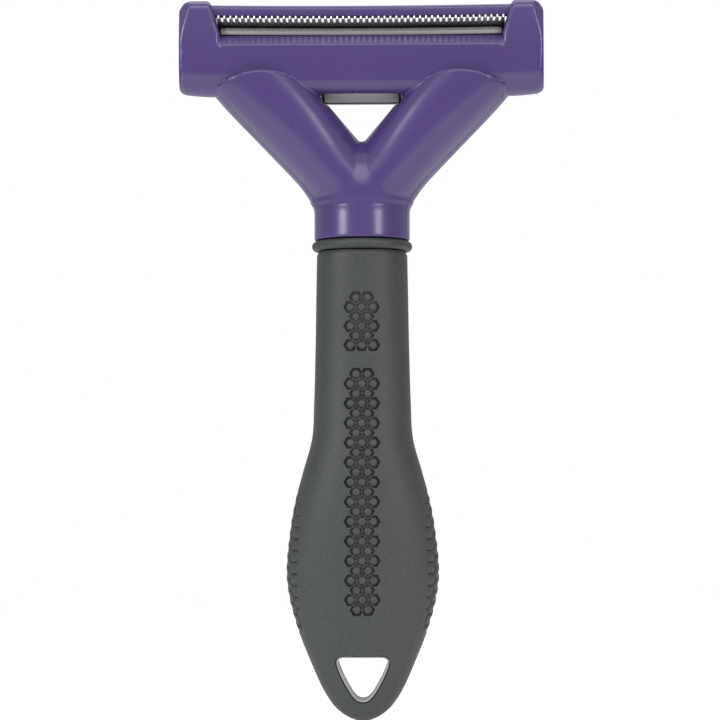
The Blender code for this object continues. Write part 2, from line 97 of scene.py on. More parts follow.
# Comb blade and wiper
TEETH = 49
TOOTH_PITCH = 1.38
TOOTH_LENGTH = 4.0
BLADE_HALF = float(span("comb_blade")[1][0])
BLADE_BACK = -11.0
BLADE_THICK = 0.5
BLADE_LOW, BLADE_HIGH = -0.24, 0.58
EDGE_SAG = 0.7
CLAMP_THICK = 1.5
BLADE_SCREW_X = (-29.5, -18.0, 18.0, 29.5)
BLADE_SCREW_S, BLADE_BORE_R = -8.0, 1.2
# The bar is a little narrower than its node, so that it clears the yoke at full travel
BAR_HALF = float(span("ejector_bar")[1][0]) - 0.45
BAR_FRONT, BAR_BACK, BAR_THICK = -0.75, -6.0, 1.5
BAR_TOP = -0.5
LEDGE_N = -BLADE_THICK - CLEAR
FLOOR_N = -BLADE_THICK - BAR_THICK - 2 * CLEAR

# Springs and their guide pins, with places along the blade
SPRING_X, SPRING_N = 9.0, -6.0
SPRING_BACK, SPRING_FRONT = -22.4, -4.5
SPRING_R, SPRING_TURNS, WIRE_R = 1.75, 8.0, 0.22

# Thumb button
BUTTON_MID, BUTTON_R, BUTTON_RUN = -3.5, 6.0, 14.0
BUTTON_FRONT, BUTTON_BACK = -18.8, -26.54
RIB_PITCH, RIB_HEIGHT, DISH_DEPTH = 2.6, 0.42, 0.75

# Head
HEAD_HALF = float(span("yoke_rear_shell")[1][0])
HEAD_TOP = float(span("yoke_rear_shell")[1][2])
HEAD_FRONT, HEAD_BOTTOM = -13.0, 147.2
HEAD_REAR = 7.6
MOUTH_HALF, MOUTH_SIDE, MOUTH_SPLAY = 33.9, 33.0, 0.283
REAR_LAND = 165.0
LIP_Y, LIP_Z, LIP_SLOPE = -10.7, 161.08, 1.065
PARTING_Y, SEAM = -4.6, 0.04
GUARD_HALF = float(span("skin_guard")[1][0])

# Pockets in the yoke: half width or radius, then where each starts and ends along the blade
TONGUE_POCKET = (14.4, -20.0, -5.5)
SPRING_POCKET = (2.5, -15.0, -4.0)
# Room left round the button's outline, then how far in each pocket goes along the blade
BUTTON_POCKET, BEZEL_POCKET = (0.4, -13.0), (2.6, -20.4)
# Half width, then the spans of y and z
COVER_POCKET = (9.3, (-9.4, 3.5), (145.3, 148.9))
# Spans of x, y and z
GUARD_SLOT = ((32.0, GUARD_HALF + 0.35), (-11.5, -7.5), (165.4, 168.8))

# Arms and collar
# z and x of an arm's outer edge
ARM_OUTER = (
    (116.0, 9.8),
    (119.0, 10.5),
    (122.2, 11.75),
    (125.0, 13.45),
    (127.7, 15.55),
    (135.1, 22.6),
    (139.0, 26.4),
    (142.7, 30.0),
    (145.7, 32.8),
    (147.2, 34.1),
    (148.6, 35.3),
    (150.0, 36.2),
    (152.8, 37.0),
)
# z, then the front and rear y of an arm
ARM_DEPTH = (
    (116.0, -10.1, 9.9),
    (120.0, -10.95, 10.8),
    (122.0, -11.3, 11.2),
    (126.0, -11.65, 11.4),
    (136.0, -12.55, 10.6),
    (149.0, -14.2, 7.6),
    (153.0, -14.55, 7.0),
)
CROTCH_Z, CROTCH_SLOPE = 136.6, 0.87
# x and z of the edge where an arm ends on the head's face
ARM_END = (
    (0.0, 140.0),
    (9.0, 146.6),
    (11.0, 148.1),
    (14.0, 149.9),
    (18.0, 151.6),
    (22.2, 152.45),
    (26.0, 152.15),
    (30.0, 151.1),
    (34.6, 149.1),
    (38.0, 147.0),
)
COLLAR_R, COLLAR_LOW, COLLAR_HIGH = 11.35, 113.8, 121.5
NECK_R, NECK_TOP = 7.2, 127.5

# x, z, y of the head's seat, y of the shank's end
SHELL_SCREWS = {
    "head_screw_left": (-39.0, 156.0, 4.0, -9.5),
    "head_screw_right": (39.0, 156.0, 4.0, -9.5),
    "arm_screw_left": (-20.3, 143.3, 3.2, -9.5),
    "arm_screw_right": (20.3, 143.3, 3.2, -9.5),
}
COLLAR_SCREW = (0.0, 118.0, 8.6, -2.5)

# Grip: height, half width, half depth
GRIP_TOP = 110.9
GRIP_POWER = 2.25
GRIP_WALL = 1.8
GRIP_STATIONS = (
    (0.0, 1.0, 0.8),
    (1.0, 3.5, 2.2),
    (2.4, 5.6, 3.2),
    (4.3, 7.4, 4.0),
    (8.0, 9.7, 5.0),
    (13.8, 12.3, 6.1),
    (21.3, 15.3, 7.6),
    (28.0, 17.2, 8.8),
    (35.0, 18.1, 9.7),
    (44.0, 17.35, 10.5),
    (51.5, 16.1, 10.8),
    (59.1, 14.05, 10.8),
    (66.7, 12.0, 10.5),
    (75.0, 11.5, 10.1),
    (88.0, 11.15, 9.8),
    (100.0, 10.95, 10.3),
    (GRIP_TOP, 10.75, 10.7),
)
CELL_STEP, CELL_R = 1.34, 1.41
# Top row, rows, row pitch
PATCHES = ((99.6, 6, 2.22), (81.75, 25, 2.29))
TREAD_TOP, TREAD_PITCH, TREAD_ROWS = 52.7, 2.73, 12

# Hang hole: height, half width of the opening
HOLE_SIDE = (
    (5.2, 0.0),
    (5.32, 0.75),
    (5.75, 1.45),
    (6.6, 2.2),
    (7.9, 3.05),
    (9.5, 3.95),
    (11.2, 4.8),
    (12.8, 5.45),
    (14.0, 5.8),
    (14.75, 5.75),
    (15.15, 5.3),
    (15.3, 4.6),
)


# Meshes


def blade_points(x, s, n):
    """Points given in the blade's axes, as an array of x, y and z."""
    x, s, n = np.broadcast_arrays(np.asarray(x, float), s, n)
    return np.stack([x, GULLET_Y - s * COS + n * SIN, GULLET_Z + s * SIN + n * COS], axis=-1)


def along(stations, at):
    """Smooth curves through rows that start with their position, read at an array of positions."""
    table = np.array(stations, float)
    where, values = table[:, 0], table[:, 1:]
    ends = np.arange(len(table))
    after, before = np.minimum(ends + 1, ends[-1]), np.maximum(ends - 1, 0)
    slopes = (values[after] - values[before]) / (where[after] - where[before])[:, None]
    at = np.clip(np.asarray(at, float), where[0], where[-1])
    row = np.clip(np.searchsorted(where, at, side="right") - 1, 0, len(table) - 2)
    width = where[row + 1] - where[row]
    t = (at - where[row]) / width
    made = []
    for k in range(values.shape[1]):
        low, high = values[row, k], values[row + 1, k]
        out, into = slopes[row, k] * width, slopes[row + 1, k] * width
        made.append(
            low * (2 * t**3 - 3 * t**2 + 1)
            + out * (t**3 - 2 * t**2 + t)
            + high * (3 * t**2 - 2 * t**3)
            + into * (t**3 - t**2)
        )
    return made


def smooth_step(low, high, value):
    t = np.clip((value - low) / (high - low), 0, 1)
    return t * t * (3 - 2 * t)


def piece(name, points, faces, sharp=None):
    """A mesh object from points in millimetres, shaded smooth, with edges over a given angle kept sharp."""
    mesh = bpy.data.meshes.new(name)
    mesh.from_pydata(np.asarray(points, float) * MM, [], faces)
    work = bmesh.new()
    work.from_mesh(mesh)
    bmesh.ops.recalc_face_normals(work, faces=work.faces)
    work.to_mesh(mesh)
    work.free()
    mesh.shade_smooth()
    if sharp:
        mesh.set_sharp_from_angle(angle=math.radians(sharp))
    obj = bpy.data.objects.new(name, mesh)
    bpy.context.scene.collection.objects.link(obj)
    return obj


def ring_faces(rows, sides, closed=False, caps=True):
    """Quads between rings of points, with an end face on the first and last or a join between them."""
    faces = []
    for low in range(rows if closed else rows - 1):
        high = (low + 1) % rows
        for i in range(sides):
            j = (i + 1) % sides
            faces.append([low * sides + i, high * sides + i, high * sides + j, low * sides + j])
    if caps and not closed:
        faces.append(list(range(sides)))
        faces.append([rows * sides - 1 - i for i in range(sides)])
    return faces


def loft(name, rings, sharp=None, closed=False):
    """A piece through rings of points, closed back on its first ring where it has no ends."""
    rings = [np.asarray(ring, float) for ring in rings]
    faces = ring_faces(len(rings), len(rings[0]), closed)
    return piece(name, np.concatenate(rings), faces, sharp)


def facing(axis):
    """Rotation that turns +Z to an axis."""
    return np.array(Vector(axis).to_track_quat("Z", "Y").to_matrix())


def turned(name, profile, base, axis, sides=48, sharp=40):
    """A turned piece: profile holds radius and height along the axis."""
    turn = facing(axis)
    angles = 2 * np.pi * (np.arange(sides) + 0.5) / sides
    rings = []
    for radius, height in profile:
        flat = np.stack([radius * np.cos(angles), radius * np.sin(angles), np.full(sides, height)], axis=-1)
        rings.append(np.asarray(base, float) + flat @ turn.T)
    return loft(name, rings, sharp)


def settled(obj):
    """Applies the modifiers of a piece."""
    graph = bpy.context.evaluated_depsgraph_get()
    mesh = bpy.data.meshes.new_from_object(obj.evaluated_get(graph))
    obj.modifiers.clear()
    old = obj.data
    obj.data = mesh
    bpy.data.meshes.remove(old)
    return obj


def carved(obj, *tools):
    """Cuts tools out of a piece and removes them."""
    for tool in tools:
        step = obj.modifiers.new("cut", "BOOLEAN")
        step.operation = "DIFFERENCE"
        step.solver = "EXACT"
        step.object = tool
    settled(obj)
    for tool in tools:
        bpy.data.objects.remove(tool)
    if not obj.data.polygons:
        raise RuntimeError(f"{obj.name} was cut away")
    return obj


def blade_bored(obj, top):
    """Cuts the blade screws' bores through a piece, up to a height above the blade."""
    profile = ((BLADE_BORE_R, -3.0), (BLADE_BORE_R, top))
    bores = []
    for x in BLADE_SCREW_X:
        bores.append(turned("bore", profile, blade_points(x, BLADE_SCREW_S, 0), ACROSS_BLADE, 32))
    return carved(obj, *bores)


def marked(obj, name, values):
    """Stores a value at each point of a piece, for its finish to read."""
    layer = obj.data.attributes.new(name, "FLOAT", "POINT")
    layer.data.foreach_set("value", np.asarray(values, np.float32).reshape(-1))


def rounded_outline(corners, steps):
    """Points round a polygon of (a, b, radius) corners, each corner an arc."""
    points = []
    for i, (a, b, radius) in enumerate(corners):
        here = Vector((a, b))
        before = (Vector(corners[i - 1][:2]) - here).normalized()
        after = (Vector(corners[(i + 1) % len(corners)][:2]) - here).normalized()
        half = before.angle(after) / 2
        centre = here + (before + after).normalized() * radius / math.sin(half)
        start = here + before * radius / math.tan(half) - centre
        end = here + after * radius / math.tan(half) - centre
        swing = start.angle_signed(end)
        for k in range(steps + 1):
            points.append(centre + Matrix.Rotation(-swing * k / steps, 2) @ start)
    return [tuple(point) for point in points]


# Solids described by a distance field, for the moulded head


def round_max(a, b, radius):
    """Overlap of two solids with a rounded edge between them."""
    beyond = np.hypot(np.maximum(a + radius, 0), np.maximum(b + radius, 0))
    return np.minimum(np.maximum(a, b), -radius) + beyond


def round_min(a, b, radius):
    """Join of two solids with a rounded corner between them."""
    return -round_max(-a, -b, radius)


def slab(value, low, high):
    return np.maximum(low - value, value - high)


def head_solid(x, y, z):
    """The head as a block with slanted faces and a facet on each front corner."""
    front = HEAD_FRONT - y + 0.006 * np.maximum(164.0 - z, 0.0) ** 2
    ends = smooth_step(20.0, 31.0, x)
    low = HEAD_BOTTOM - z + 0.21 * ends * np.maximum(y + 7.0, 0.0)
    low = low + 0.24 * (np.maximum(x - 34.0, 0.0) / 5.0) ** 2
    rear = (y - HEAD_REAR) * 0.979 - (z - HEAD_BOTTOM) * 0.2038
    top = z - HEAD_TOP
    lower = round_max(front, low, 3.6 + 1.9 * ends)
    upper = round_max(rear, top, 3.0)
    block = round_max(lower, upper, np.interp(z, (150.0, 166.0), (5.0, 2.2)))
    end = x - HEAD_HALF - 0.062 * np.minimum(y, 0.0)
    block = round_max(block, end, np.interp(z, (147.0, 152.0, 160.0, 168.0), (1.9, 0.9, 0.8, 3.0)))
    facet = (x - 40.6) * 0.75 - (y - HEAD_FRONT) * 0.62 + (z - 166.6) * 0.225
    return round_max(block, facet, 0.15)


def mouth_height(y):
    """Height of the surface under the wiper, blade and clamp, from the lip to the rear land."""
    back = blade_points(0, BLADE_BACK - CLEAR, CLAMP_THICK + CLEAR)[1]
    stations = [(LIP_Y - 6.0, LIP_Z - 6.0 * LIP_SLOPE), (LIP_Y, LIP_Z)]
    for s, n in ((-6.5, FLOOR_N), (-6.5, LEDGE_N), (BLADE_BACK - CLEAR, LEDGE_N)):
        stations.append(tuple(blade_points(0, s, n)[1:]))
    stations += [(back, stations[-1][1]), (back + 0.3, REAR_LAND), (30.0, REAR_LAND)]
    return np.interp(y, *zip(*stations))


def arm_solid(x, y, z):
    """The arm on the right, from the collar to its end on the head's face."""
    (outer,) = along(ARM_OUTER, z)
    front, rear = along(ARM_DEPTH, z)
    inner = -np.minimum(CROTCH_SLOPE * (CROTCH_Z - z), outer)
    half = (outer - inner) / 2
    depth = (rear - front) / 2
    across, deep = (x - (outer + inner) / 2) / half, (y - (front + rear) / 2) / depth
    power = 2.0 + 0.6 * smooth_step(132.0, 149.0, z)
    reach = (np.abs(across) ** power + np.abs(deep) ** power + 1e-9) ** (1 / power)
    away = (reach - 1) * np.minimum(half, depth) * 0.75
    (top,) = along(ARM_END, np.abs(x))
    return np.maximum(round_max(away, (z - top) * 0.85, 0.3), 115.0 - z)


def button_reach(x, n, grow):
    """Distance to the button's long round outline, grown outwards."""
    return np.hypot(np.maximum(x - BUTTON_RUN, 0), n - BUTTON_MID) - (BUTTON_R + grow)


def yoke_solid(x, y, z):
    """Distance to the whole moulded yoke, in millimetres, with its pockets and bores."""
    x = np.abs(x)
    head = head_solid(x, y, z)
    lip = (z - mouth_height(y)) * 0.75
    splay = MOUTH_SIDE + MOUTH_SPLAY * (z - 161.3)
    side = np.maximum(splay, MOUTH_SIDE + 0.75 * smooth_step(-11.8, -10.8, y)) - x
    head = round_max(head, round_min(lip, side, 0.7), 0.3 + 0.9 * smooth_step(32.0, 33.2, x))
    collar = round_max(np.hypot(x, y) - COLLAR_R, slab(z, COLLAR_LOW, COLLAR_HIGH), 0.35)
    fold = 0.3 + 1.2 * smooth_step(-12.2, -9.0, y) * smooth_step(127.0, 131.0, z)
    fold = fold + 0.9 * smooth_step(136.5, 128.0, z) * smooth_step(121.0, 126.0, z)
    both = round_min(arm_solid(x, y, z), arm_solid(-x, y, z), fold)
    arms = round_min(both, collar, 0.35)
    body = round_min(head, arms, 0.25)
    s = -(y - GULLET_Y) * COS + (z - GULLET_Z) * SIN
    n = (y - GULLET_Y) * SIN + (z - GULLET_Z) * COS
    spring = np.hypot(x - SPRING_X, n - SPRING_N) - SPRING_POCKET[0]
    button = button_reach(x, n, BUTTON_POCKET[0])
    bezel = button_reach(x, n, BEZEL_POCKET[0])
    tongue = np.maximum(x - TONGUE_POCKET[0], slab(s, *TONGUE_POCKET[1:]))
    cover = np.maximum(x - COVER_POCKET[0], slab(y, *COVER_POCKET[1]))
    slot = np.maximum(slab(x, *GUARD_SLOT[0]), slab(y, *GUARD_SLOT[1]))
    cuts = [
        np.maximum(tongue, slab(n, FLOOR_N, -BLADE_THICK)),
        np.maximum(button, s - BUTTON_POCKET[1]),
        np.maximum(bezel, s - BEZEL_POCKET[1]),
        np.maximum(spring, slab(s, *SPRING_POCKET[1:])),
        np.maximum(np.hypot(x, y) - NECK_R - 0.4, z - NECK_TOP - 0.5),
        np.maximum(cover, slab(z, *COVER_POCKET[2])),
        np.maximum(slot, slab(z, *GUARD_SLOT[2])),
    ]
    for place in BLADE_SCREW_X[2:]:
        bore = np.hypot(x - place, s - BLADE_SCREW_S) - BLADE_BORE_R
        cuts.append(np.maximum(bore, -7.0 - n))
    places = [(*SHELL_SCREWS[node], 1.4, 2.7) for node in ("head_screw_right", "arm_screw_right")]
    places.append((*COLLAR_SCREW, 1.3, 2.3))
    for across, height, seat, end, shank, counterbore in places:
        away = np.hypot(x - across, z - height)
        cuts.append(np.maximum(away - shank, end - 0.5 - y))
        cuts.append(np.maximum(away - counterbore, seat - CLEAR - y))
    for hollow in cuts:
        body = np.maximum(body, -hollow)
    return body


def front_half(x, y, z):
    return round_max(yoke_solid(x, y, z), y - PARTING_Y + SEAM, 0.12)


def rear_half(x, y, z):
    return round_max(yoke_solid(x, y, z), PARTING_Y + SEAM - y, 0.12)


def skinned(solid, low, high, step):
    """Points and quads over the surface of a solid that is the same on both sides of x = 0."""
    counts = [int(round((b - a) / step)) + 1 for a, b in zip(low, high)]
    axes = [a + step * np.arange(count) for a, count in zip(low, counts)]
    half = solid(axes[0][:, None, None], axes[1][None, :, None], axes[2][None, None, :])
    field = np.concatenate([half[:0:-1], half])
    axes[0] = np.concatenate([-axes[0][:0:-1], axes[0]])
    inside = field < 0
    total = sum(
        inside[i : i - 1 or None, j : j - 1 or None, k : k - 1 or None].astype(np.int8)
        for i in (0, 1)
        for j in (0, 1)
        for k in (0, 1)
    )
    cells = np.argwhere((total > 0) & (total < 8))
    number = np.full(total.shape, -1)
    number[tuple(cells.T)] = np.arange(len(cells))
    place, hits = np.zeros((len(cells), 3)), np.zeros(len(cells))
    for axis in range(3):
        others = [k for k in range(3) if k != axis]
        for a in (0, 1):
            for b in (0, 1):
                start = cells.copy()
                start[:, others[0]] += a
                start[:, others[1]] += b
                end = start.copy()
                end[:, axis] += 1
                near, far = field[tuple(start.T)], field[tuple(end.T)]
                crossed = (near < 0) != (far < 0)
                t = near[crossed] / (near[crossed] - far[crossed])
                spot = start[crossed].astype(float)
                spot[:, axis] += t
                place[crossed] += spot
                hits[crossed] += 1
    place /= hits[:, None]
    points = np.stack([axes[k][0] + place[:, k] * step for k in range(3)], axis=-1)
    quads = []
    for axis in range(3):
        others = [k for k in range(3) if k != axis]
        here = [slice(1, -1)] * 3
        here[axis] = slice(0, -1)
        there = list(here)
        there[axis] = slice(1, None)
        near, far = inside[tuple(here)], inside[tuple(there)]
        for found, order in ((near & ~far, 1), (~near & far, -1)):
            edges = np.argwhere(found)
            for k in others:
                edges[:, k] += 1
            around = []
            for a, b in ((0, 0), (-1, 0), (-1, -1), (0, -1)):
                cell = edges.copy()
                cell[:, others[0]] += a
                cell[:, others[1]] += b
                around.append(number[tuple(cell.T)])
            quad = np.stack(around, axis=-1)
            quads.append(quad[:, ::order])
    return drawn_to(solid, points, step), np.concatenate(quads)


def drawn_to(solid, points, step):
    """Moves points onto the surface of a solid, by no more than half a step."""
    reach = 0.02
    start = points.copy()
    for _ in range(2):
        x, y, z = points.T
        value = solid(x, y, z)
        slope = np.stack(
            [
                solid(x + reach, y, z) - solid(x - reach, y, z),
                solid(x, y + reach, z) - solid(x, y - reach, z),
                solid(x, y, z + reach) - solid(x, y, z - reach),
            ],
            axis=-1,
        ) / (2 * reach)
        move = slope * (value / np.maximum((slope**2).sum(axis=1), 0.2))[:, None]
        points = points - np.clip(move, -0.5 * step, 0.5 * step)
    return start + np.clip(points - start, -0.5 * step, 0.5 * step)


# Grip relief


def hex_reach(a, b):
    """Distance from a six-sided cell's middle that is the same all along its outline."""
    a, b = np.abs(a), np.abs(b)
    return np.maximum(b, a * math.sqrt(3) / 2 + b / 2)


def honeycomb(x, z):
    """Depth of the front honeycomb below the grip's surface, and the painted shade in its lines and round its
    domes.
    """
    inner = CELL_R * math.sqrt(3) / 2
    best = np.full(np.shape(x), -9.0)
    second = best.copy()
    dome = np.full(np.shape(x), 9.0)
    for top, rows, pitch in PATCHES:
        near = np.round((top - z) / pitch)
        for shift in (-1, 0, 1):
            row = np.clip(near + shift, 0, rows - 1)
            skip = (near + shift < 0) | (near + shift > rows - 1)
            even = row % 2 == 0
            for step in (-2, -1, 0, 1, 2):
                out = skip | (even != (abs(step) == 1))
                a, b = x - step * CELL_STEP, z - (top - row * pitch)
                edge = np.where(out, -9.0, inner - hex_reach(a, b))
                second = np.maximum(second, np.minimum(edge, best))
                best = np.maximum(best, edge)
                dome = np.minimum(dome, np.where(out, 9.0, np.hypot(a, b)))
    # Lines on a patch's outline and on the lower patch are cut deeper and given more painted shade than lines
    # shared between cells; a ring round each dome is cut in and given painted shade too.
    lone = 1 - 0.45 * smooth_step(-0.55, -0.2, second)
    lower = 0.8 + 0.2 * smooth_step(95.0, 89.0, z)
    line = lone * lower * np.exp(-(((best - 0.03) / 0.17) ** 2))
    ring = 0.55 * np.exp(-(((dome - 0.96) / 0.11) ** 2)) * smooth_step(0.0, 0.1, best)
    floor = smooth_step(-0.05, 0.2, best) * (1 - np.clip(1 - (dome / 0.92) ** 2, 0, 1))
    return 0.6 * np.maximum(line, ring) + 0.15 * floor, np.maximum(line, ring)


def treads(y, z, half_depth):
    """Depth of the grooves between the six-sided pads on the grip's sides, and the painted shade in them."""
    radius = TREAD_PITCH / math.sqrt(3)
    best = np.full(np.shape(y), -9.0)
    for column in (-2, -1, 0, 1, 2):
        offset = 0.5 * (column % 2) * TREAD_PITCH
        row = np.round((TREAD_TOP - offset - z) / TREAD_PITCH)
        b = z - (TREAD_TOP - offset - row * TREAD_PITCH)
        best = np.maximum(best, TREAD_PITCH / 2 - hex_reach(y - 1.5 * radius * column, b))
    bottom = TREAD_TOP - (TREAD_ROWS - 0.5) * TREAD_PITCH
    zone = smooth_step(bottom - 0.6, bottom + 0.4, z) * smooth_step(TREAD_TOP + 1.9, TREAD_TOP + 0.9, z)
    middle = (TREAD_TOP + bottom) / 2
    lens = np.sqrt(np.clip(1 - ((z - middle) / (TREAD_TOP + 4.5 - middle)) ** 2, 0.0, 1.0))
    edge = (0.15 + 0.42 * lens) * half_depth
    zone = zone * smooth_step(edge + 0.4, edge - 0.3, np.abs(y))
    line = zone * np.exp(-((best / 0.27) ** 2))
    crown = zone * smooth_step(1.3, 0.0, best)
    return 0.5 * line + 0.12 * crown, 0.55 * line


def hole_curve(grow=0.0, count=120):
    """Outline of the hang hole in x and z, grown outwards."""
    table = np.array(HOLE_SIDE)
    low, high = table[0, 0], table[-1, 0]
    length = np.concatenate([[0], np.cumsum(np.hypot(*np.diff(table, axis=0).T))])
    t = np.linspace(0, length[-1], 60)
    rows = np.column_stack([length, table])
    z, x = along(rows, t)
    x = np.maximum(x, 0.0)
    z = np.clip(z, low, high)
    right = np.column_stack([x, z])
    loop = np.concatenate([right, right[:0:-1] * (-1, 1)])
    lap = np.concatenate([loop, loop[:1]])
    run = np.concatenate([[0], np.cumsum(np.hypot(*np.diff(lap, axis=0).T))])
    at = np.linspace(0, run[-1], count, endpoint=False)
    loop = np.column_stack([np.interp(at, run, lap[:, k]) for k in (0, 1)])
    ahead = np.roll(loop, -2, axis=0) - np.roll(loop, 2, axis=0)
    outward = np.column_stack([ahead[:, 1], -ahead[:, 0]]) / np.hypot(*ahead.T)[:, None]
    return loop + outward * grow


def grip_angles(half_x, half_y):
    """Angles round the superellipse, closer together on the front honeycomb and the side treads."""
    power = GRIP_POWER / 2
    side = np.minimum(6.6, 0.72 * half_y)
    narrow = np.minimum(4.3, 0.4 * half_x)
    wide = np.minimum(8.6, 0.72 * half_x)

    def angle_at(values, half):
        share = np.clip(np.abs(values) / half, 0, 1) ** power
        return np.sign(values) * np.arcsin(share)

    right = angle_at(np.linspace(-1, 1, 49)[None] * side, half_y)
    left = np.pi + right
    inner = np.linspace(-1, 1, 63)[None] * narrow
    outer = narrow + (wide - narrow) * np.linspace(0, 1, 15)[None, 1:]
    front = angle_at(np.concatenate([-outer[:, ::-1], inner, outer], axis=1), half_x) + 1.5 * np.pi
    back = right[:, -1:] + (left[:, :1] - right[:, -1:]) * np.linspace(0, 1, 44)[None, 1:-1]
    low_left = left[:, -1:] + (front[:, :1] - left[:, -1:]) * np.linspace(0, 1, 14)[None, 1:-1]
    end = right[:, :1] + 2 * np.pi
    low_right = front[:, -1:] + (end - front[:, -1:]) * np.linspace(0, 1, 14)[None, 1:-1]
    return np.concatenate([right, back, left, low_left, front, low_right], axis=1)


def grip_rows(heights, inset=0.0):
    """Points of the plain grip in rows at some heights, and the half width and depth of each row."""
    half_x, half_y = (value[:, None] - inset for value in along(GRIP_STATIONS, heights))
    angle = grip_angles(half_x, half_y)
    cos, sin = np.cos(angle), np.sin(angle)
    x = half_x * np.sign(cos) * np.abs(cos) ** (2 / GRIP_POWER)
    y = half_y * np.sign(sin) * np.abs(sin) ** (2 / GRIP_POWER)
    return x, y, np.broadcast_to(heights[:, None], x.shape), half_x, half_y


# Materials


class Wire:
    """An output socket that takes part in arithmetic by adding Math nodes."""

    def __init__(self, recipe, socket):
        self.recipe = recipe
        self.socket = socket

    def math(self, operation, first, second):
        return self.recipe.node("ShaderNodeMath", {"operation": operation}, {0: first, 1: second})

    def __add__(self, other):
        return self.math("ADD", self, other)

    def __radd__(self, other):
        return self.math("ADD", other, self)

    def __sub__(self, other):
        return self.math("SUBTRACT", self, other)

    def __rsub__(self, other):
        return self.math("SUBTRACT", other, self)

    def __mul__(self, other):
        return self.math("MULTIPLY", self, other)

    def __rmul__(self, other):
        return self.math("MULTIPLY", other, self)

    def larger(self, other):
        return self.math("MAXIMUM", self, other)

    def ramp(self, low, high, start=0.0, end=1.0):
        """This value eased from start to end as it goes from low to high."""
        sockets = {0: self, 1: low, 2: high, 3: start, 4: end}
        return self.recipe.node("ShaderNodeMapRange", {"interpolation_type": "SMOOTHSTEP"}, sockets)


class Recipe:
    """A material or a world whose nodes are added one by one."""

    def __init__(self, owner, coordinates="Object"):
        self.owner = owner
        owner.use_nodes = True
        self.tree = owner.node_tree
        self.tree.nodes.clear()
        self.place = self.node("ShaderNodeTexCoord", {}, {}, out=coordinates)

    def node(self, kind, settings, sockets, out=0):
        made = self.tree.nodes.new(kind)
        for key, value in settings.items():
            setattr(made, key, value)
        for key, value in sockets.items():
            if isinstance(value, Wire):
                self.tree.links.new(value.socket, made.inputs[key])
            else:
                made.inputs[key].default_value = value
        return Wire(self, made.outputs[out]) if len(made.outputs) else None

    def noise(self, size, detail=3.0, stretch=(1.0, 1.0, 1.0), roughness=0.55):
        """Noise with features of a size in millimetres, drawn out along some axes."""
        scale = tuple(1 / (size * MM * part) for part in stretch)
        place = self.node("ShaderNodeVectorMath", {"operation": "MULTIPLY"}, {0: self.place, 1: scale})
        sockets = {"Vector": place, "Scale": 1.0, "Detail": detail, "Roughness": roughness}
        return self.node("ShaderNodeTexNoise", {}, sockets)

    def mix(self, factor, first, second):
        sockets = {0: factor, 6: first, 7: second}
        settings = {"data_type": "RGBA", "clamp_factor": True}
        return self.node("ShaderNodeMix", settings, sockets, out=2)

    def dot(self, direction):
        settings = {"operation": "DOT_PRODUCT"}
        return self.node("ShaderNodeVectorMath", settings, {0: self.place, 1: direction}, out=1)

    def pointiness(self):
        return self.node("ShaderNodeNewGeometry", {}, {}, out="Pointiness")

    def attribute(self, name):
        return self.node("ShaderNodeAttribute", {"attribute_name": name}, {}, out="Fac")

    def bump(self, height, depth):
        """Relief of a depth in millimetres."""
        return self.node("ShaderNodeBump", {}, {"Height": height, "Distance": depth * MM})

    def finish(self, sockets):
        shader = self.node("ShaderNodeBsdfPrincipled", {}, sockets)
        self.node("ShaderNodeOutputMaterial", {}, {"Surface": shader})
        return self.owner


def shade(colour, factor):
    return (*(min(part * factor, 1.0) for part in colour[:3]), 1.0)


def moulded(name, colour, roughness, texture):
    """Moulded plastic: soft mottling, fine spark texture, rubbed edges and handling marks."""
    recipe = Recipe(bpy.data.materials.new(name))
    broad = recipe.noise(17.0, 2.0)
    fine = recipe.noise(0.35, 3.0)
    marks = recipe.noise(2.6, 4.0, (1.0, 1.0, 1.6), 0.7)
    mottle = recipe.mix(broad * 0.55 + fine * 0.45, shade(colour, 0.9), shade(colour, 1.1))
    rubbed = recipe.pointiness().ramp(0.515, 0.60) * marks.ramp(0.30, 0.62)
    tint = recipe.mix(rubbed * 0.55, mottle, shade(colour, 1.35))
    # Painted highlight: where a piece marks it, the colour is lifted to a pale tint; the wiper marks its lower
    # bevel this way.
    tint = recipe.mix(recipe.attribute("pale"), tint, shade(colour, 2.2))
    rough = roughness + 0.07 * (marks - 0.5) + 0.06 * (broad - 0.5)
    bump = recipe.bump(fine + 0.5 * broad, texture)
    return recipe.finish({"Base Color": tint, "Roughness": rough, "Normal": bump, "IOR": 1.47})


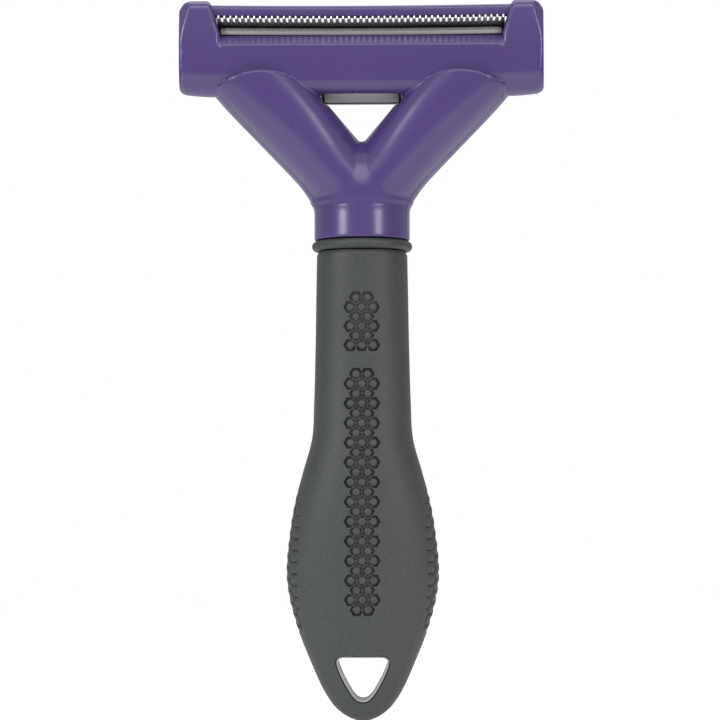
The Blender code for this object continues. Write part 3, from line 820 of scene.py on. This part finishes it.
def soft_rubber(name, colour, roughness):
    """Soft-touch rubber: matte grain, slightly paler high spots, painted shade in its grooves and a painted
    light tint, cooler on the left side and warmer on the right.
    """
    recipe = Recipe(bpy.data.materials.new(name))
    broad = recipe.noise(14.0, 2.0)
    cloud = recipe.noise(3.2, 4.0)
    grain = recipe.noise(0.42, 2.0)
    fine = recipe.noise(0.13, 2.0)
    # Painted light: the grip is tinted cooler on its left side and warmer on its right, as the lamps light it.
    across = recipe.dot((1.0, 0.0, 0.0)).ramp(-0.014, 0.016)
    cool_light_tint = shade((colour[0] * 0.95, colour[1] * 1.04, colour[2] * 1.0), 1.0)
    warm_light_tint = shade((colour[0] * 1.10, colour[1] * 0.95, colour[2] * 1.02), 1.0)
    base = recipe.mix(across, cool_light_tint, warm_light_tint)
    pale = recipe.mix(broad * 0.5 + cloud * 0.5, shade(colour, 0.82), shade(colour, 1.22))
    body = recipe.mix(0.5, base, pale)
    speck = recipe.mix(grain.ramp(0.35, 0.68), shade(colour, 0.55), shade(colour, 1.45))
    body = recipe.mix(0.4, body, speck)
    worn = recipe.pointiness().ramp(0.51, 0.58) * cloud.ramp(0.35, 0.6)
    body = recipe.mix(worn * 0.22, body, shade(colour, 1.8))
    # Painted shade: the marked grooves are darkened almost to black.
    groove = recipe.attribute("groove")
    tint = recipe.mix(groove.ramp(0.1, 0.95), body, shade(colour, 0.05))
    rough = roughness + 0.10 * (cloud - 0.5) + 0.08 * (grain - 0.5) + 0.45 * groove
    bump = recipe.bump(grain + 0.5 * fine + 0.6 * cloud, 0.030)
    return recipe.finish({"Base Color": tint, "Roughness": rough, "Normal": bump, "IOR": 1.45})


def ground_steel(name, colour, roughness):
    """Ground steel: fine lines across the stroke, faint stains, brighter worn edges and a painted glint on the
    tooth tips.
    """
    recipe = Recipe(bpy.data.materials.new(name))
    lines = recipe.noise(0.07, 2.0, (40.0, 1.0, 1.0))
    broad = recipe.noise(6.0, 3.0)
    stain = recipe.noise(1.3, 4.0)
    tint = recipe.mix(lines * 0.5 + broad * 0.5, shade(colour, 0.72), shade(colour, 1.25))
    brown = shade((colour[0], colour[1] * 0.95, colour[2] * 0.8), 0.6)
    tint = recipe.mix(stain.ramp(0.56, 0.72) * 0.3, tint, brown)
    rough = roughness + 0.14 * (lines - 0.5) + 0.12 * (broad - 0.5)
    # Painted glint: the marked tooth tips are turned near white, as if they caught the light.
    tip_glint = recipe.attribute("tip")
    tint = recipe.mix(tip_glint, tint, (0.93, 0.92, 0.96, 1.0))
    rough = rough - 0.08 * tip_glint
    worn = recipe.pointiness().ramp(0.52, 0.62)
    tint = recipe.mix(worn * 0.4, tint, shade(colour, 1.9))
    bump = recipe.bump(lines + 0.3 * stain, 0.004)
    return recipe.finish({"Base Color": tint, "Roughness": rough, "Metallic": 1.0, "Normal": bump})


def plated(name, colour, roughness):
    """Bright zinc plating with a faint swirl and darker spots."""
    recipe = Recipe(bpy.data.materials.new(name))
    swirl = recipe.noise(0.9, 4.0)
    fine = recipe.noise(0.12, 2.0)
    tint = recipe.mix(swirl * 0.7 + fine * 0.3, shade(colour, 0.75), shade(colour, 1.2))
    worn = recipe.pointiness().ramp(0.52, 0.62)
    tint = recipe.mix(worn * 0.35, tint, shade(colour, 1.5))
    rough = roughness + 0.16 * (swirl - 0.5)
    bump = recipe.bump(fine, 0.003)
    return recipe.finish({"Base Color": tint, "Roughness": rough, "Metallic": 1.0, "Normal": bump})


# How each slot's finish is made, with its roughness and, for moulded plastic, the depth of its texture
FINISHES = {
    "yoke_purple": (moulded, 0.27, 0.006),
    "ejector_dark_grey": (moulded, 0.42, 0.012),
    "trim_light_grey": (moulded, 0.44, 0.012),
    "core_plastic": (moulded, 0.5, 0.012),
    "grip_rubber": (soft_rubber, 0.54),
    "blade_steel": (ground_steel, 0.36),
    "screw_zinc": (plated, 0.34),
}


def finish_of(slot):
    """The material of one of the record's slots, made when it is first needed."""
    name = f"{slot}_finish"
    found = bpy.data.materials.get(name)
    if found:
        return found
    make, *values = FINISHES[slot]
    return make(name, getattr(bpy.context.scene.tool_finishes, slot), *values)


def dress(obj, body, slot, node):
    """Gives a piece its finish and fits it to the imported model, on a body unless it joins two."""
    obj.data.materials.clear()
    obj.data.materials.append(finish_of(slot))
    if body:
        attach(obj, body)
    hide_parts(node)


# Settings that a user would change


def colour_setting(name, description, default):
    return bpy.props.FloatVectorProperty(
        name=name, description=description, default=default, subtype="COLOR", size=3, min=0.0, max=1.0
    )


def size_setting(name, description, default, low, high):
    return bpy.props.FloatProperty(
        name=name, description=description, default=default, min=low, max=high, unit="LENGTH"
    )


class ToolFinishes(bpy.types.PropertyGroup):
    """Base colours of the tool's finishes."""

    yoke_purple: colour_setting("Yoke", "Purple plastic of the head and arms", (0.050, 0.030, 0.122))
    grip_rubber: colour_setting("Grip", "Charcoal soft-touch rubber", (0.027, 0.0305, 0.030))
    core_plastic: colour_setting("Core", "Grey plastic of the core and the clamp bar", (0.18, 0.185, 0.19))
    trim_light_grey: colour_setting("Trim", "Button, bezel, cover and hang hole", (0.24, 0.24, 0.24))
    ejector_dark_grey: colour_setting("Wiper", "Dark grey of the wiper bar", (0.14, 0.134, 0.14))
    blade_steel: colour_setting("Blade", "Ground steel of the comb, springs and pins", (0.17, 0.175, 0.165))
    screw_zinc: colour_setting("Screws", "Zinc plating of the screws", (0.55, 0.55, 0.56))


class ToolSizes(bpy.types.PropertyGroup):
    """Sizes of small details."""

    skin_step: size_setting("Skin step", "Grid step of the head's surface", 0.00032, 0.0002, 0.001)
    tooth_root: size_setting("Tooth root", "Half a tooth's width at its root", 0.00051, 0.0003, 0.0006)
    tooth_tip: size_setting("Tooth tip", "Half a tooth's width at its tip", 0.00024, 0.0001, 0.0003)
    guard_sag: size_setting("Guard bow", "How far the guard's middle bows back", 0.0012, 0.0, 0.002)


# Pieces


def edge_sag(x):
    """How far the toothed edge bows back, from nothing at its ends."""
    return -EDGE_SAG * (1 - (np.asarray(x) / BLADE_HALF) ** 2)


class TOOL_OT_yoke(bpy.types.Operator):
    """Builds the two halves of the moulded head, arms and collar"""

    bl_idname = "deshedding.yoke"
    bl_label = "Yoke Shells"

    def execute(self, context):
        step = context.scene.tool_sizes.skin_step / MM
        x_end = step * math.ceil(HEAD_HALF / step + 1)
        for name, solid, deep in (
            ("yoke_front", front_half, (-15.3, -4.2)),
            ("yoke_rear", rear_half, (-5.0, 13.4)),
        ):
            points, quads = skinned(solid, (0.0, deep[0], 113.2), (x_end, deep[1], 170.0), step)
            points = np.clip(points, *(np.array(corner) / MM for corner in CAD_BOUNDS))
            shell = piece(name, points, quads)
            dress(shell, "tool", "yoke_purple", f"{name}_shell")
        return {"FINISHED"}


class TOOL_OT_guard(bpy.types.Operator):
    """Builds the bowed bar above the teeth"""

    bl_idname = "deshedding.guard"
    bl_label = "Skin Guard"

    def execute(self, context):
        bow = context.scene.tool_sizes.guard_sag / MM
        corners = ((-11.1, 165.85, 0.35), (-8.0, 165.85, 0.5), (-8.0, 168.45, 0.8), (-11.1, 168.45, 0.95))
        section = rounded_outline(corners, 7)
        rings = []
        for x in np.linspace(-GUARD_HALF, GUARD_HALF, 121):
            sag = bow * max(1 - (x / MOUTH_HALF) ** 2, 0.0)
            rings.append([(x, y + sag, z) for y, z in section])
        dress(loft("guard_bar", rings, 40), "tool", "yoke_purple", "skin_guard")
        return {"FINISHED"}


class TOOL_OT_comb(bpy.types.Operator):
    """Builds the toothed blade, with round gullets and bevelled teeth"""

    bl_idname = "deshedding.comb"
    bl_label = "Comb Blade"

    def execute(self, context):
        sizes = context.scene.tool_sizes
        root, tip = sizes.tooth_root / MM, sizes.tooth_tip / MM
        gap = TOOTH_PITCH / 2 - root
        point, shoulder = TOOTH_LENGTH, TOOTH_LENGTH - 0.35
        outline = [(-BLADE_HALF, BLADE_BACK), (-BLADE_HALF, float(edge_sag(BLADE_HALF)))]
        for k in range(TEETH):
            x = (k - (TEETH - 1) / 2) * TOOTH_PITCH
            sag = float(edge_sag(x))
            for turn in (1.0, 0.66, 0.33):
                out = root + gap * (1 - math.cos(turn * math.pi / 2)) * (k > 0)
                outline.append((x - out, sag + gap * (1 - turn)))
            for side, high in ((-1.15, shoulder), (-0.55, point), (0.55, point), (1.15, shoulder)):
                outline.append((x + tip * side, high + sag))
            for turn in (0.33, 0.66, 1.0):
                out = root + gap * (1 - math.cos(turn * math.pi / 2)) * (k < TEETH - 1)
                outline.append((x + out, sag + gap * (1 - turn)))
        outline += [(BLADE_HALF, float(edge_sag(BLADE_HALF))), (BLADE_HALF, BLADE_BACK)]
        x, s = np.array(outline).T
        levels = ((BLADE_LOW, 0.1), (BLADE_LOW + 0.06, 0.0), (BLADE_HIGH - 0.2, 0.0), (BLADE_HIGH, 0.3))
        rings = [blade_points(x, np.where(s > 1.0, s - shrink, s), n) for n, shrink in levels]
        blade = loft("comb", rings, 25)
        # Marks the tooth tips for the painted glint in the steel's finish.
        marked(blade, "tip", np.tile(smooth_step(2.6, 3.6, s - edge_sag(x)), len(rings)))
        blade_bored(blade, 3.0)
        dress(blade, "tool", "blade_steel", "comb_blade")
        return {"FINISHED"}


class TOOL_OT_clamp(bpy.types.Operator):
    """Builds the bar that holds the blade down"""

    bl_idname = "deshedding.clamp"
    bl_label = "Blade Clamp"

    def execute(self, context):
        corners = [(BLADE_BACK, 0.62, 0.1), (-5.0, 0.62, 0.1), (-5.0, 1.8, 0.5), (BLADE_BACK, 1.8, 0.35)]
        section = np.array(rounded_outline(corners, 4))
        middle = section.mean(axis=0)
        rings = []
        for at in np.linspace(-1, 1, 61):
            shrink = 1 - 0.12 * smooth_step(0.985, 1.0, abs(at))
            s_n = middle + (section - middle) * shrink
            rings.append(blade_points(at * BLADE_HALF, s_n[:, 0], s_n[:, 1]))
        clamp = loft("clamp_bar", rings, 40)
        blade_bored(clamp, 5.0)
        dress(clamp, "tool", "core_plastic", "blade_clamp")
        return {"FINISHED"}


class TOOL_OT_wiper(bpy.types.Operator):
    """Builds the wiper bar under the teeth, with a painted highlight on its lower bevel"""

    bl_idname = "deshedding.wiper"
    bl_label = "Wiper Bar"

    def execute(self, context):
        low = BAR_TOP - BAR_THICK
        rings = []
        for x in np.linspace(-1, 1, 101):
            end = 0.9 * max(abs(x) - 0.965, 0) / 0.035
            x *= BAR_HALF
            front = BAR_FRONT + float(edge_sag(x)) - 0.35 * (end > 0) * end
            corners = (
                (BAR_BACK, BAR_TOP, 0.15),
                (front, BAR_TOP, 0.2),
                (front, low + 0.62 + 0.2 * end, 0.12),
                (front - 0.62, low + 0.1 * end, 0.18),
                (BAR_BACK, low, 0.15),
            )
            section = rounded_outline(corners, 3)
            rings.append([blade_points(x, s, n) for s, n in section])
        bar = loft("wiper_bar", rings, 28)
        pale = np.zeros((len(rings), len(rings[0])))
        # Painted highlight on the lower bevel: the points of each section from the end of its third corner to
        # the start of its fourth
        pale[:, 10:14] = 1.0
        marked(bar, "pale", pale)
        dress(bar, "ejector", "ejector_dark_grey", "ejector_bar")
        return {"FINISHED"}


def stadium(grow, sides=160):
    """x and n round the button's outline, grown outwards."""
    angle = 2 * np.pi * (np.arange(sides) + 0.5) / sides
    radius = BUTTON_R + grow
    x = np.copysign(BUTTON_RUN, np.cos(angle)) + radius * np.cos(angle)
    return x, BUTTON_MID + radius * np.sin(angle)


def stadium_ring(grow, s):
    x, n = stadium(grow)
    return blade_points(x, s, n)


class TOOL_OT_button(bpy.types.Operator):
    """Builds the thumb button, dished and ribbed on its rear face"""

    bl_idname = "deshedding.button"
    bl_label = "Thumb Button"

    def execute(self, context):
        walls = ((-0.2, BUTTON_FRONT), (0.0, BUTTON_FRONT - 0.2), (0.0, BUTTON_BACK + 2.0))
        rings = [stadium_ring(grow, s) for grow, s in walls]
        for turn in np.linspace(0.1, 1.0, 8) * math.pi / 2:
            rings.append(stadium_ring(-1.5 * (1 - math.cos(turn)), BUTTON_BACK + 1.9 * (1 - math.sin(turn))))
        for grow in np.linspace(-1.7, -5.85, 30):
            x, n = stadium(grow)
            dish = DISH_DEPTH * smooth_step(-1.9, -4.2, grow)
            ribs = RIB_HEIGHT * np.exp(-(((np.abs(x) % RIB_PITCH - RIB_PITCH / 2) / 0.5) ** 2))
            ribs = ribs * smooth_step(11.5, 10.5, np.abs(x))
            s = np.maximum(BUTTON_BACK + dish - ribs * smooth_step(-2.2, -3.2, grow), BUTTON_BACK)
            rings.append(blade_points(x, s, n))
        button = loft("thumb_button", rings, 50)
        pockets = []
        for x in (-SPRING_X, SPRING_X):
            base = blade_points(x, 0, SPRING_N)
            pockets.append(turned("spring_pocket", ((2.5, -22.8), (2.5, -10.0)), base, ALONG_BLADE))
            pockets.append(turned("pin_pocket", ((1.2, -24.9), (1.2, -20.0)), base, ALONG_BLADE, 24))
        carved(button, *pockets)
        dress(button, "ejector", "trim_light_grey", "ejector_button")
        return {"FINISHED"}


class TOOL_OT_bezel(bpy.types.Operator):
    """Builds the ring round the thumb button"""

    bl_idname = "deshedding.bezel"
    bl_label = "Button Bezel"

    def execute(self, context):
        corners = ((0.4, -20.7, 0.25), (2.3, -20.7, 0.25), (2.3, -22.1, 0.6), (0.4, -22.1, 0.45))
        rings = [stadium_ring(grow, s) for grow, s in rounded_outline(corners, 4)]
        dress(loft("bezel_ring", rings, 60, closed=True), "tool", "trim_light_grey", "button_bezel")
        return {"FINISHED"}


class TOOL_OT_springs(bpy.types.Operator):
    """Builds the two return springs with closed end turns, and their guide pins"""

    bl_idname = "deshedding.springs"
    bl_label = "Springs and Pins"

    def execute(self, context):
        part = np.linspace(0, 1, 8 * 36 + 1)
        run = SPRING_FRONT - SPRING_BACK
        flat = 2 * WIRE_R * 1.05 / run
        knots = ((0, 0.006), (1 / 8, flat), (7 / 8, 1 - flat), (1, 0.994))
        lean = 2 * np.pi * np.arange(10) / 10
        radius = SPRING_R + WIRE_R * np.cos(lean)
        for side, x in (("left", -SPRING_X), ("right", SPRING_X)):
            middle = SPRING_BACK + run * np.interp(part, *zip(*knots))
            rings = []
            for angle, at in zip(2 * np.pi * SPRING_TURNS * part, middle):
                across, deep = radius * math.cos(angle), radius * math.sin(angle)
                rings.append(blade_points(x + across, at + WIRE_R * np.sin(lean), SPRING_N + deep))
            spring = loft(f"spring_{side}", rings, 60)
            dress(spring, None, "blade_steel", f"return_spring_{side}")
            ends = [blade_points(x, at, SPRING_N) * MM for at in (SPRING_FRONT, SPRING_BACK)]
            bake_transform(spring)
            base = blade_points(x, 0, SPRING_N)
            profile = [(0.55, -24.7), (0.75, -24.62), (0.9, -24.4)]
            profile += [(0.9, -11.9), (0.75, -11.55), (0.45, -11.4)]
            pin = turned(f"guide_pin_{side}", profile, base, ALONG_BLADE, 32)
            dress(pin, "ejector", "blade_steel", f"spring_pin_{side}")
        return {"FINISHED"}


def pan_head(name, base, axis, head_r, head_h, shank_r, length):
    """Pan-head screw with a thread and a cross recess."""
    profile = [(shank_r * 0.4, -length), (shank_r * 0.95, -length + shank_r * 1.3)]
    turns = int((length - 2.2 - shank_r) / 0.8)
    for k in range(turns):
        start = -length + shank_r * 1.3 + 0.8 * k
        profile += [(shank_r, start + 0.3), (shank_r, start + 0.4), (shank_r * 0.8, start + 0.65)]
    profile += [(shank_r * 0.85, -0.9), (shank_r * 0.9, 0.0), (head_r * 0.97, 0.0), (head_r, 0.12)]
    for turn in np.linspace(0.0, 1.0, 8):
        angle = turn * math.pi / 2
        profile.append((head_r * (0.25 + 0.75 * math.cos(angle)), head_h * (0.45 + 0.55 * math.sin(angle))))
    profile = [row for i, row in enumerate(profile) if i == 0 or row != profile[i - 1]]
    screw = turned(name, profile, base, axis, 40, 40)
    turn = facing(axis)
    width, reach = head_r * 0.16, head_r * 0.56
    cross = []
    for a, b in ((reach, width), (width, reach)):
        rings = []
        for height, scale in ((head_h * 0.35, 0.55), (head_h * 1.4, 1.15)):
            wide = a if a > b else a / scale
            deep = b if b > a else b / scale
            corners = np.array([(-wide, -deep), (wide, -deep), (wide, deep), (-wide, deep)]) * scale
            flat = np.column_stack([corners, np.full(4, height)])
            rings.append(np.asarray(base) + flat @ turn.T)
        cross.append(loft("cross", rings))
    return carved(screw, *cross)


class TOOL_OT_screws(bpy.types.Operator):
    """Builds the blade, shell and collar screws"""

    bl_idname = "deshedding.screws"
    bl_label = "Screws"

    def execute(self, context):
        seat = 2 * CLEAR + CLAMP_THICK
        for i, x in enumerate(BLADE_SCREW_X):
            base = blade_points(x, BLADE_SCREW_S, seat)
            screw = pan_head(f"comb_screw_{i + 1}", base, ACROSS_BLADE, 1.9, 1.1, 0.85, seat + 6.0)
            dress(screw, "tool", "screw_zinc", f"blade_screw_{i + 1}")
        for node, (x, z, seat, end) in SHELL_SCREWS.items():
            screw = pan_head(f"{node}_pan", (x, seat, z), (0, 1, 0), 2.3, 1.6, 1.1, seat - end)
            dress(screw, "tool", "screw_zinc", node)
        x, z, seat, end = COLLAR_SCREW
        screw = pan_head("collar_screw_pan", (x, seat, z), (0, 1, 0), 1.95, 1.3, 1.0, seat - end)
        dress(screw, "tool", "screw_zinc", "collar_screw")
        return {"FINISHED"}


class TOOL_OT_cover(bpy.types.Operator):
    """Builds the grey cover under the head, between the arms"""

    bl_idname = "deshedding.cover"
    bl_label = "Underside Cover"

    def execute(self, context):
        low, high = span("underside_cover")
        left, right, front, rear = low[0], high[0], low[1], high[1]
        corners = [(left, front, 2.2), (left, rear, 1.0), (right, rear, 1.0), (right, front, 2.2)]
        outline = np.array(rounded_outline(corners, 8))
        centre = outline.mean(axis=0)
        levels = [(0.25, high[2]), (0.0, high[2] - 0.2), (0.0, low[2] + 0.45), (0.18, low[2] + 0.2)]
        for shrink in (0.5, 1.5, 3.5, 6.0, 8.2):
            levels.append((shrink, low[2] + 0.2 * (1 - smooth_step(0, 8.2, shrink))))
        rings = []
        for shrink, z in levels:
            rings.append([(x, y, z) for x, y in centre + (outline - centre) * (1 - shrink / 9)])
        dress(loft("cover_plate", rings, 50), "tool", "trim_light_grey", "underside_cover")
        return {"FINISHED"}


class TOOL_OT_grip(bpy.types.Operator):
    """Builds the soft grip with its honeycomb, side treads and hang hole"""

    bl_idname = "deshedding.grip"
    bl_label = "Soft Grip"

    def execute(self, context):
        heights = np.concatenate(
            [
                [0.0, 0.12, 0.3, 0.6, 1.0, 1.4, 1.8, 2.2, 2.6],
                np.arange(2.9, 18.0, 0.3),
                np.arange(18.2, 24.9, 0.22),
                np.arange(25.0, 83.6, 0.15),
                np.arange(84.0, 86.6, 0.5),
                np.arange(86.9, 101.2, 0.15),
                np.arange(101.6, GRIP_TOP - 0.9, 0.5),
                GRIP_TOP - np.array([0.8, 0.5, 0.25, 0.1, 0.0]),
            ]
        )
        heights = np.unique(np.round(heights, 4))
        x, y, z, half_x, half_y = grip_rows(heights)
        front = np.where(y < 0, 1.0, 0.0)
        comb, comb_line_shade = honeycomb(x, z)
        tread, tread_line_shade = treads(y, z, half_y)
        tread_zone = np.where(np.abs(x) > 0.45 * half_x, 1.0, 0.0)
        comb, comb_line_shade = comb * front, comb_line_shade * front
        tread, tread_line_shade = tread * tread_zone, tread_line_shade * tread_zone
        rim = smooth_step(0.8, 0.0, GRIP_TOP - z) * 0.35
        y = y + comb
        x = x - np.sign(x) * tread
        shrink = 1 - rim / np.hypot(x, y).clip(1.0)
        outer = np.stack([x * shrink, y * shrink, z], axis=-1)
        lows = np.array([GRIP_TOP, 105.0, 98.0, 88.0, 78.0, 68.0, 58.0, 48.0, 40.0, 32.0, 26.0, 22.0])
        inner = np.stack(grip_rows(lows, GRIP_WALL)[:3], axis=-1)
        grip = loft("grip", [*outer, *inner])
        # Painted shade for the honeycomb lines and tread grooves, stored at each point for the rubber's finish.
        groove = np.zeros(len(grip.data.vertices))
        groove[: z.size] = np.maximum(comb_line_shade, tread_line_shade).reshape(-1)
        marked(grip, "groove", groove)
        hole = hole_curve(0.62)
        cutter = loft("hole_cutter", [[(a, deep, b) for a, b in hole] for deep in (-14.0, 14.0)])
        carved(grip, cutter)
        grip.data.set_sharp_from_angle(angle=math.radians(50))
        dress(grip, "tool", "grip_rubber", "grip_sleeve")
        return {"FINISHED"}


class TOOL_OT_liner(bpy.types.Operator):
    """Builds the pale wall of the hang hole"""

    bl_idname = "deshedding.liner"
    bl_label = "Hang Hole Wall"

    def execute(self, context):
        edges = ((0.5, 0.75), (0.42, 0.5), (0.25, 0.38), (0.08, 0.45), (0.0, 0.65))
        rings = []
        for sign, steps in ((-1, edges), (1, edges[::-1])):
            for grow, less in steps:
                x, z = hole_curve(grow).T
                half_x, half_y = along(GRIP_STATIONS, z)
                share = np.maximum(1 - np.abs(x / half_x) ** GRIP_POWER, 0.02)
                reach = half_y * share ** (1 / GRIP_POWER)
                rings.append(np.column_stack([x, sign * (reach - less), z]))
        dress(loft("hang_wall", rings, 60, closed=True), "tool", "trim_light_grey", "hang_hole_liner")
        return {"FINISHED"}


class TOOL_OT_collar_ring(bpy.types.Operator):
    """Builds the rounded ring between the grip and the collar, with small moulded marks"""

    bl_idname = "deshedding.collar_ring"
    bl_label = "Collar Ring"

    def execute(self, context):
        low, high = span("collar_ring")
        outer, bottom, top = high[0], low[2], high[2]
        bore = NECK_R + CLEAR
        mid, half = (bottom + top) / 2, (top - bottom) / 2
        sides = 288
        angle = 2 * np.pi * (np.arange(sides) + 0.5) / sides
        profile = [(bore, top), (bore, bottom), (bore + 0.3, bottom)]
        for turn in np.linspace(-1, 1, 15) * math.pi / 2:
            profile.append((outer - 1.0 + 1.0 * math.cos(turn), mid + half * math.sin(turn)))
        profile.append((bore + 0.3, top))
        rings = []
        for radius, height in profile:
            mark = 0.0
            if radius > outer - 0.25:
                ticks = np.exp(-((((angle * 12.0 * outer / np.pi) % 2.0 - 1.0) / 0.25) ** 2))
                zone = smooth_step(0.16, 0.12, np.abs(angle - 1.5 * np.pi - 0.78))
                mark = 0.10 * ticks * zone
            r = radius - mark
            rings.append(np.stack([r * np.cos(angle), r * np.sin(angle), np.full(sides, height)], axis=-1))
        dress(loft("bead_ring", rings, 50, closed=True), "tool", "grip_rubber", "collar_ring")
        return {"FINISHED"}


class TOOL_OT_inner_parts(bpy.types.Operator):
    """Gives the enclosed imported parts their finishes"""

    bl_idname = "deshedding.inner_parts"
    bl_label = "Enclosed Parts"

    def execute(self, context):
        finishes = {
            "handle_core": "core_plastic",
            "ejector_tongue": "ejector_dark_grey",
        }
        for node, slot in finishes.items():
            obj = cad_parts[node]
            for place in obj.material_slots:
                place.material = finish_of(slot)
        return {"FINISHED"}


class TOOL_OT_studio(bpy.types.Operator):
    """Sets the plain floor, the soft lights and the camera"""

    bl_idname = "deshedding.studio"
    bl_label = "Studio"

    def execute(self, context):
        scene = context.scene
        scene.view_settings.view_transform = "Standard"
        world = bpy.data.worlds.new("studio_white")
        sky = Recipe(world, "Generated")
        parts = []
        for axis, low, high, end in (("Y", -0.2, 0.8, 0.62), ("Z", 0.35, 0.85, 0.9)):
            height = sky.node("ShaderNodeSeparateXYZ", {}, {0: sky.place}, out=axis)
            parts.append(height.ramp(low, high, 0.36, end))
        seen = sky.node("ShaderNodeLightPath", {}, {}, out="Is Camera Ray")
        white = sky.node("ShaderNodeBackground", {}, {"Color": parts[0].larger(parts[1]).larger(seen)})
        sky.node("ShaderNodeOutputWorld", {}, {"Surface": white})
        scene.world = world
        mesh = bpy.data.meshes.new("floor")
        work = bmesh.new()
        bmesh.ops.create_circle(work, cap_ends=True, radius=0.35, segments=96)
        work.to_mesh(mesh)
        work.free()
        floor = bpy.data.objects.new("floor", mesh)
        floor.location = (0.0, 0.0, CAD_BOUNDS[0][2] - 0.0004)
        scene.collection.objects.link(floor)
        recipe = Recipe(bpy.data.materials.new("floor_white"))
        tint = recipe.mix(recipe.noise(2.5, 2.0), (0.48, 0.48, 0.48, 1.0), (0.52, 0.52, 0.52, 1.0))
        sockets = {"Base Color": tint, "Roughness": 0.9, "Specular IOR Level": 0.0}
        sockets.update({"Emission Color": (1.0, 1.0, 1.0, 1.0), "Emission Strength": 0.8})
        mesh.materials.append(recipe.finish(sockets))
        aim = Vector((-0.57, 0.0, 85.4)) * MM
        lights = (
            ("left_strip", (-0.66, -0.62, 0.325), (0.24, 0.34), 4.4),
            ("right_strip", (0.60, -0.70, 0.325), (0.24, 0.34), 3.4),
            ("front_panel", (0.0, -1.2, 1.0), (1.2, 0.8), 10.0),
            ("top_panel", (0.0, 0.12, 0.95), (0.8, 0.4), 3.0),
        )
        for name, place, size, power in lights:
            data = bpy.data.lights.new(name, "AREA")
            data.shape = "RECTANGLE"
            data.size, data.size_y = size
            data.energy = power
            lamp = bpy.data.objects.new(name, data)
            lamp.location = place
            lamp.rotation_euler = (aim - Vector(place)).to_track_quat("-Z", "Y").to_euler()
            scene.collection.objects.link(lamp)
        turn, rise, distance = math.radians(0.9), math.radians(-2.3), 0.5
        back = Vector((math.sin(turn) * math.cos(rise), -math.cos(turn) * math.cos(rise), math.sin(rise)))
        data = bpy.data.cameras.new("camera")
        data.lens = 105.05
        data.sensor_width = 36.0
        data.clip_start = 0.01
        camera = bpy.data.objects.new("camera", data)
        camera.location = aim + back * distance
        roll = Matrix.Rotation(math.radians(-0.12), 3, "Z")
        camera.rotation_euler = ((-back).to_track_quat("-Z", "Y").to_matrix() @ roll).to_euler()
        scene.collection.objects.link(camera)
        scene.camera = camera
        return {"FINISHED"}


STEPS = (
    TOOL_OT_yoke,
    TOOL_OT_guard,
    TOOL_OT_comb,
    TOOL_OT_clamp,
    TOOL_OT_wiper,
    TOOL_OT_button,
    TOOL_OT_bezel,
    TOOL_OT_springs,
    TOOL_OT_screws,
    TOOL_OT_cover,
    TOOL_OT_grip,
    TOOL_OT_liner,
    TOOL_OT_collar_ring,
    TOOL_OT_inner_parts,
    TOOL_OT_studio,
)


class TOOL_PT_panel(bpy.types.Panel):
    """Lists the steps that build the tool, with its settings"""

    bl_idname = "TOOL_PT_panel"
    bl_label = "Deshedding Tool"
    bl_space_type = "VIEW_3D"
    bl_region_type = "UI"
    bl_category = "Deshedding Tool"

    def draw(self, context):
        for step in STEPS:
            self.layout.operator(step.bl_idname)
        for settings in (context.scene.tool_finishes, context.scene.tool_sizes):
            for name in settings.__annotations__:
                self.layout.prop(settings, name)


CLASSES = (ToolFinishes, ToolSizes, *STEPS, TOOL_PT_panel)


def register():
    for made in CLASSES:
        bpy.utils.register_class(made)
    bpy.types.Scene.tool_finishes = bpy.props.PointerProperty(type=ToolFinishes)
    bpy.types.Scene.tool_sizes = bpy.props.PointerProperty(type=ToolSizes)


def unregister():
    del bpy.types.Scene.tool_sizes
    del bpy.types.Scene.tool_finishes
    for made in reversed(CLASSES):
        bpy.utils.unregister_class(made)


def main():
    register()
    for step in STEPS:
        group, name = step.bl_idname.split(".")
        getattr(getattr(bpy.ops, group), name)()


if __name__ == "__main__":
    main()
